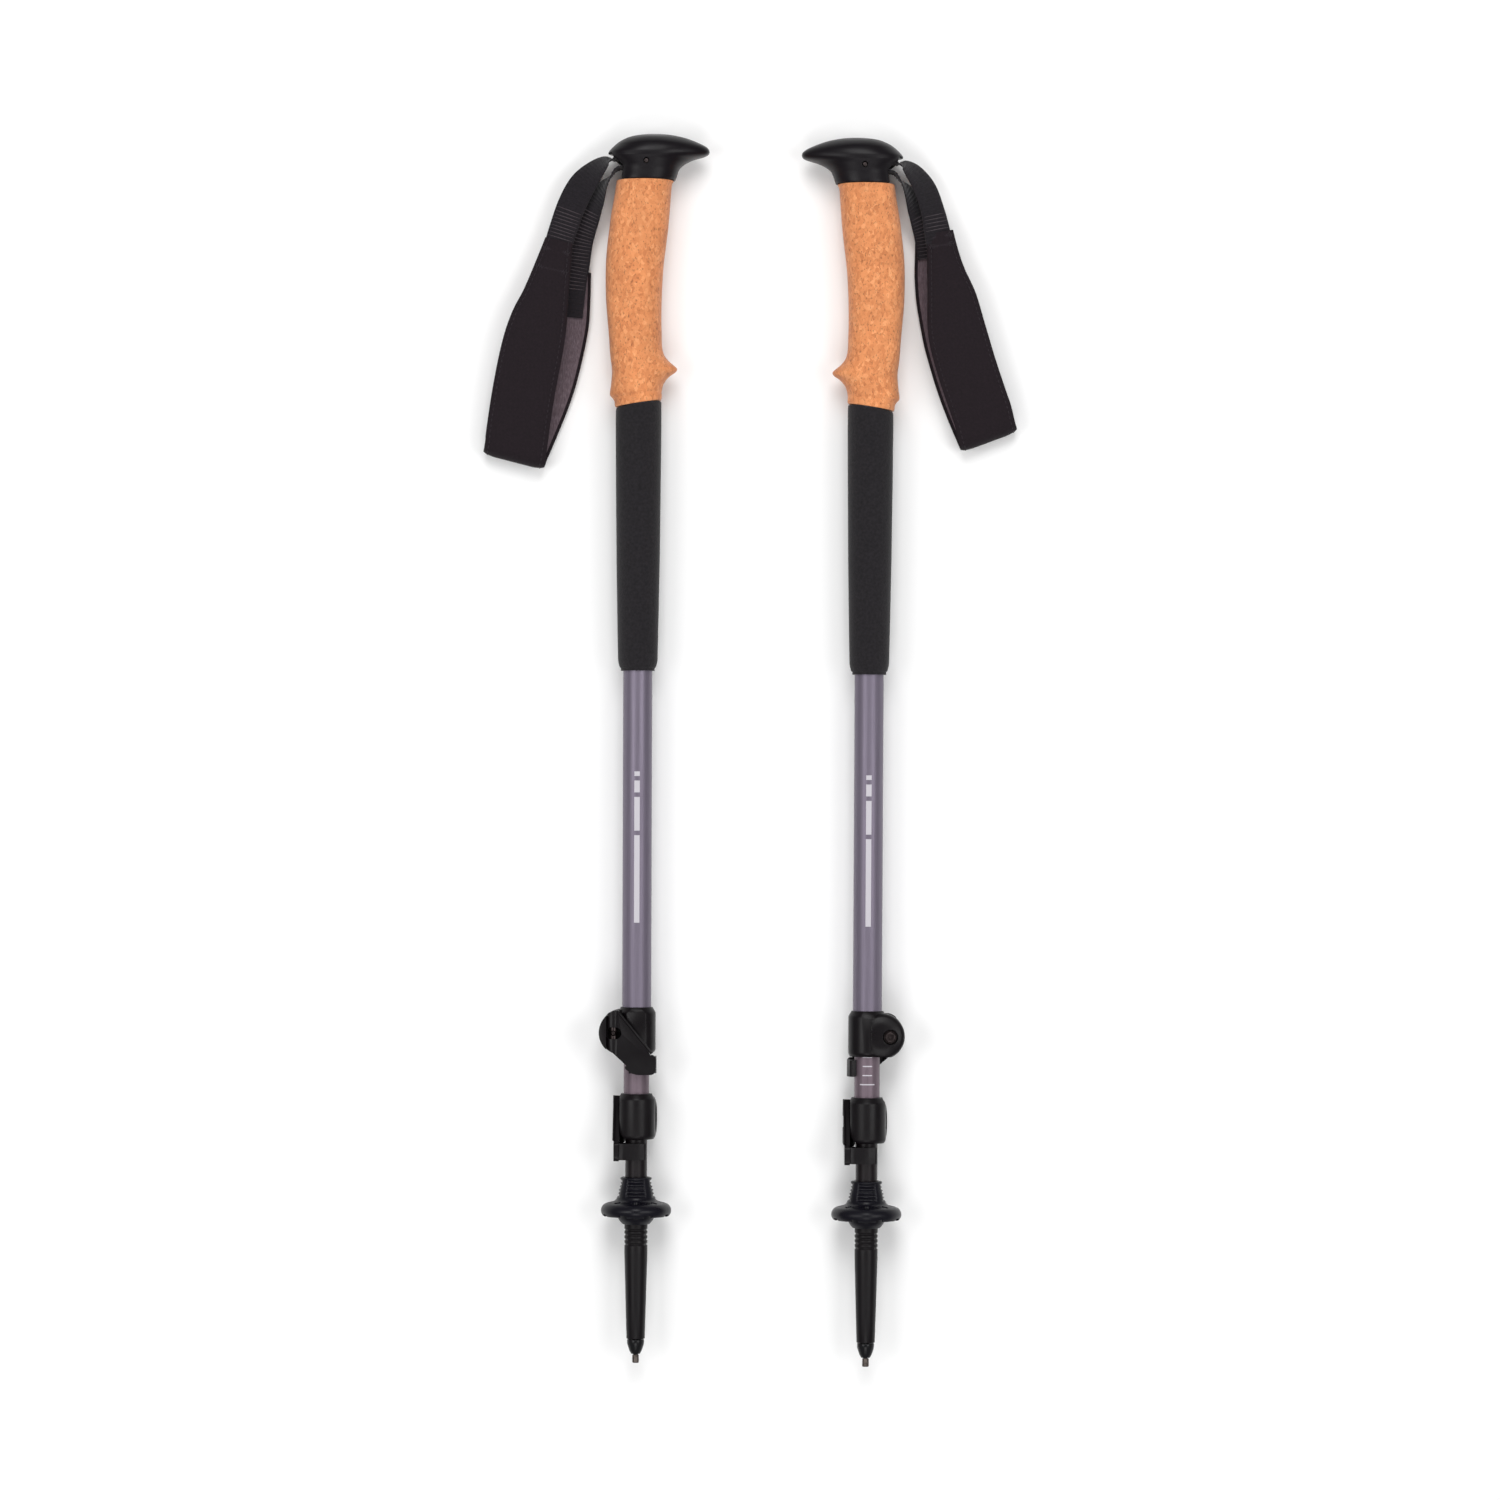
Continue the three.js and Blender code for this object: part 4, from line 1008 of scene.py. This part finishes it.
# ---------------------------------------------------------------- carried-over CAD nodes and the stage
def dress_hidden_nodes(side):
    """The pieces inside others keep their CAD meshes."""
    for node in ("strap_wedge", "grip_core", "middle_shaft_bush", "lower_shaft_bush"):
        slots = frame["nodes"][f"{side}_{node}"].data.materials
        slots.clear()
        slots.append(MATERIALS["black_plastic"])


def build_stage():
    """A pale sheet just under the poles, in metres like everything below."""
    mesh = block((-8, -8, -0.02), (8, 8, -0.0003))
    floor = bpy.data.objects.new("floor", mesh)
    bpy.context.collection.objects.link(floor)
    paper = Shader("pale_paper", (0.9, 0.9, 0.9), 0.9)
    paper.link(paper.ramp(paper.noise(paper.place(), 3), (0.3, grey(0.88)), (0.7, grey(0.9))), "Base Color")
    mesh.materials.append(paper.material)


def area_light(name, place, aim, size, power):
    data = bpy.data.lights.new(name, "AREA")
    data.shape, data.size, data.size_y, data.energy = "RECTANGLE", *size, power
    light = bpy.data.objects.new(name, data)
    light.location = place
    light.rotation_euler = (Vector(aim) - Vector(place)).to_track_quat("-Z", "Y").to_euler()
    bpy.context.collection.objects.link(light)


def light_and_camera():
    """A soft box on each side and a camera that looks straight down from the middle."""
    for name, x, y, power in (("left", -1.42, 0, 20), ("right", 1.42, 0, 20), ("top", 0, 1.42, 29),
                              ("bottom", 0, -1.42, 15)):
        area_light(name + "_box", (x, y, 2.18), (0, 0, 0), (1.2, 1.2), power)
    world = bpy.data.worlds.new("studio")
    world.use_nodes = True
    world.node_tree.nodes["Background"].inputs["Color"].default_value = (1, 1, 1, 1)
    world.node_tree.nodes["Background"].inputs["Strength"].default_value = 0.3
    scene = bpy.context.scene
    scene.world = world
    scene.view_settings.view_transform = "Standard"
    data = bpy.data.cameras.new("camera")
    span, distance, middle_height = 0.825, 3.0, 0.02
    data.sensor_width, data.lens = 36, 36 * distance / span
    camera = bpy.data.objects.new("camera", data)
    x, y = [(low + high) / 2 for low, high in zip(*CAD_BOX)][:2]
    camera.location = (x - 0.0006, y, distance + middle_height)
    bpy.context.collection.objects.link(camera)
    scene.camera = camera


for side in SIDES:
    build_grip(side)
    build_tubes(side)
    build_prints(side)
    build_lock(side, "upper", "upper", "middle")
    build_lock(side, "lower", "middle", "lower")
    build_foot(side)
    build_strap(side)
    dress_hidden_nodes(side)
build_stage()
light_and_camera()
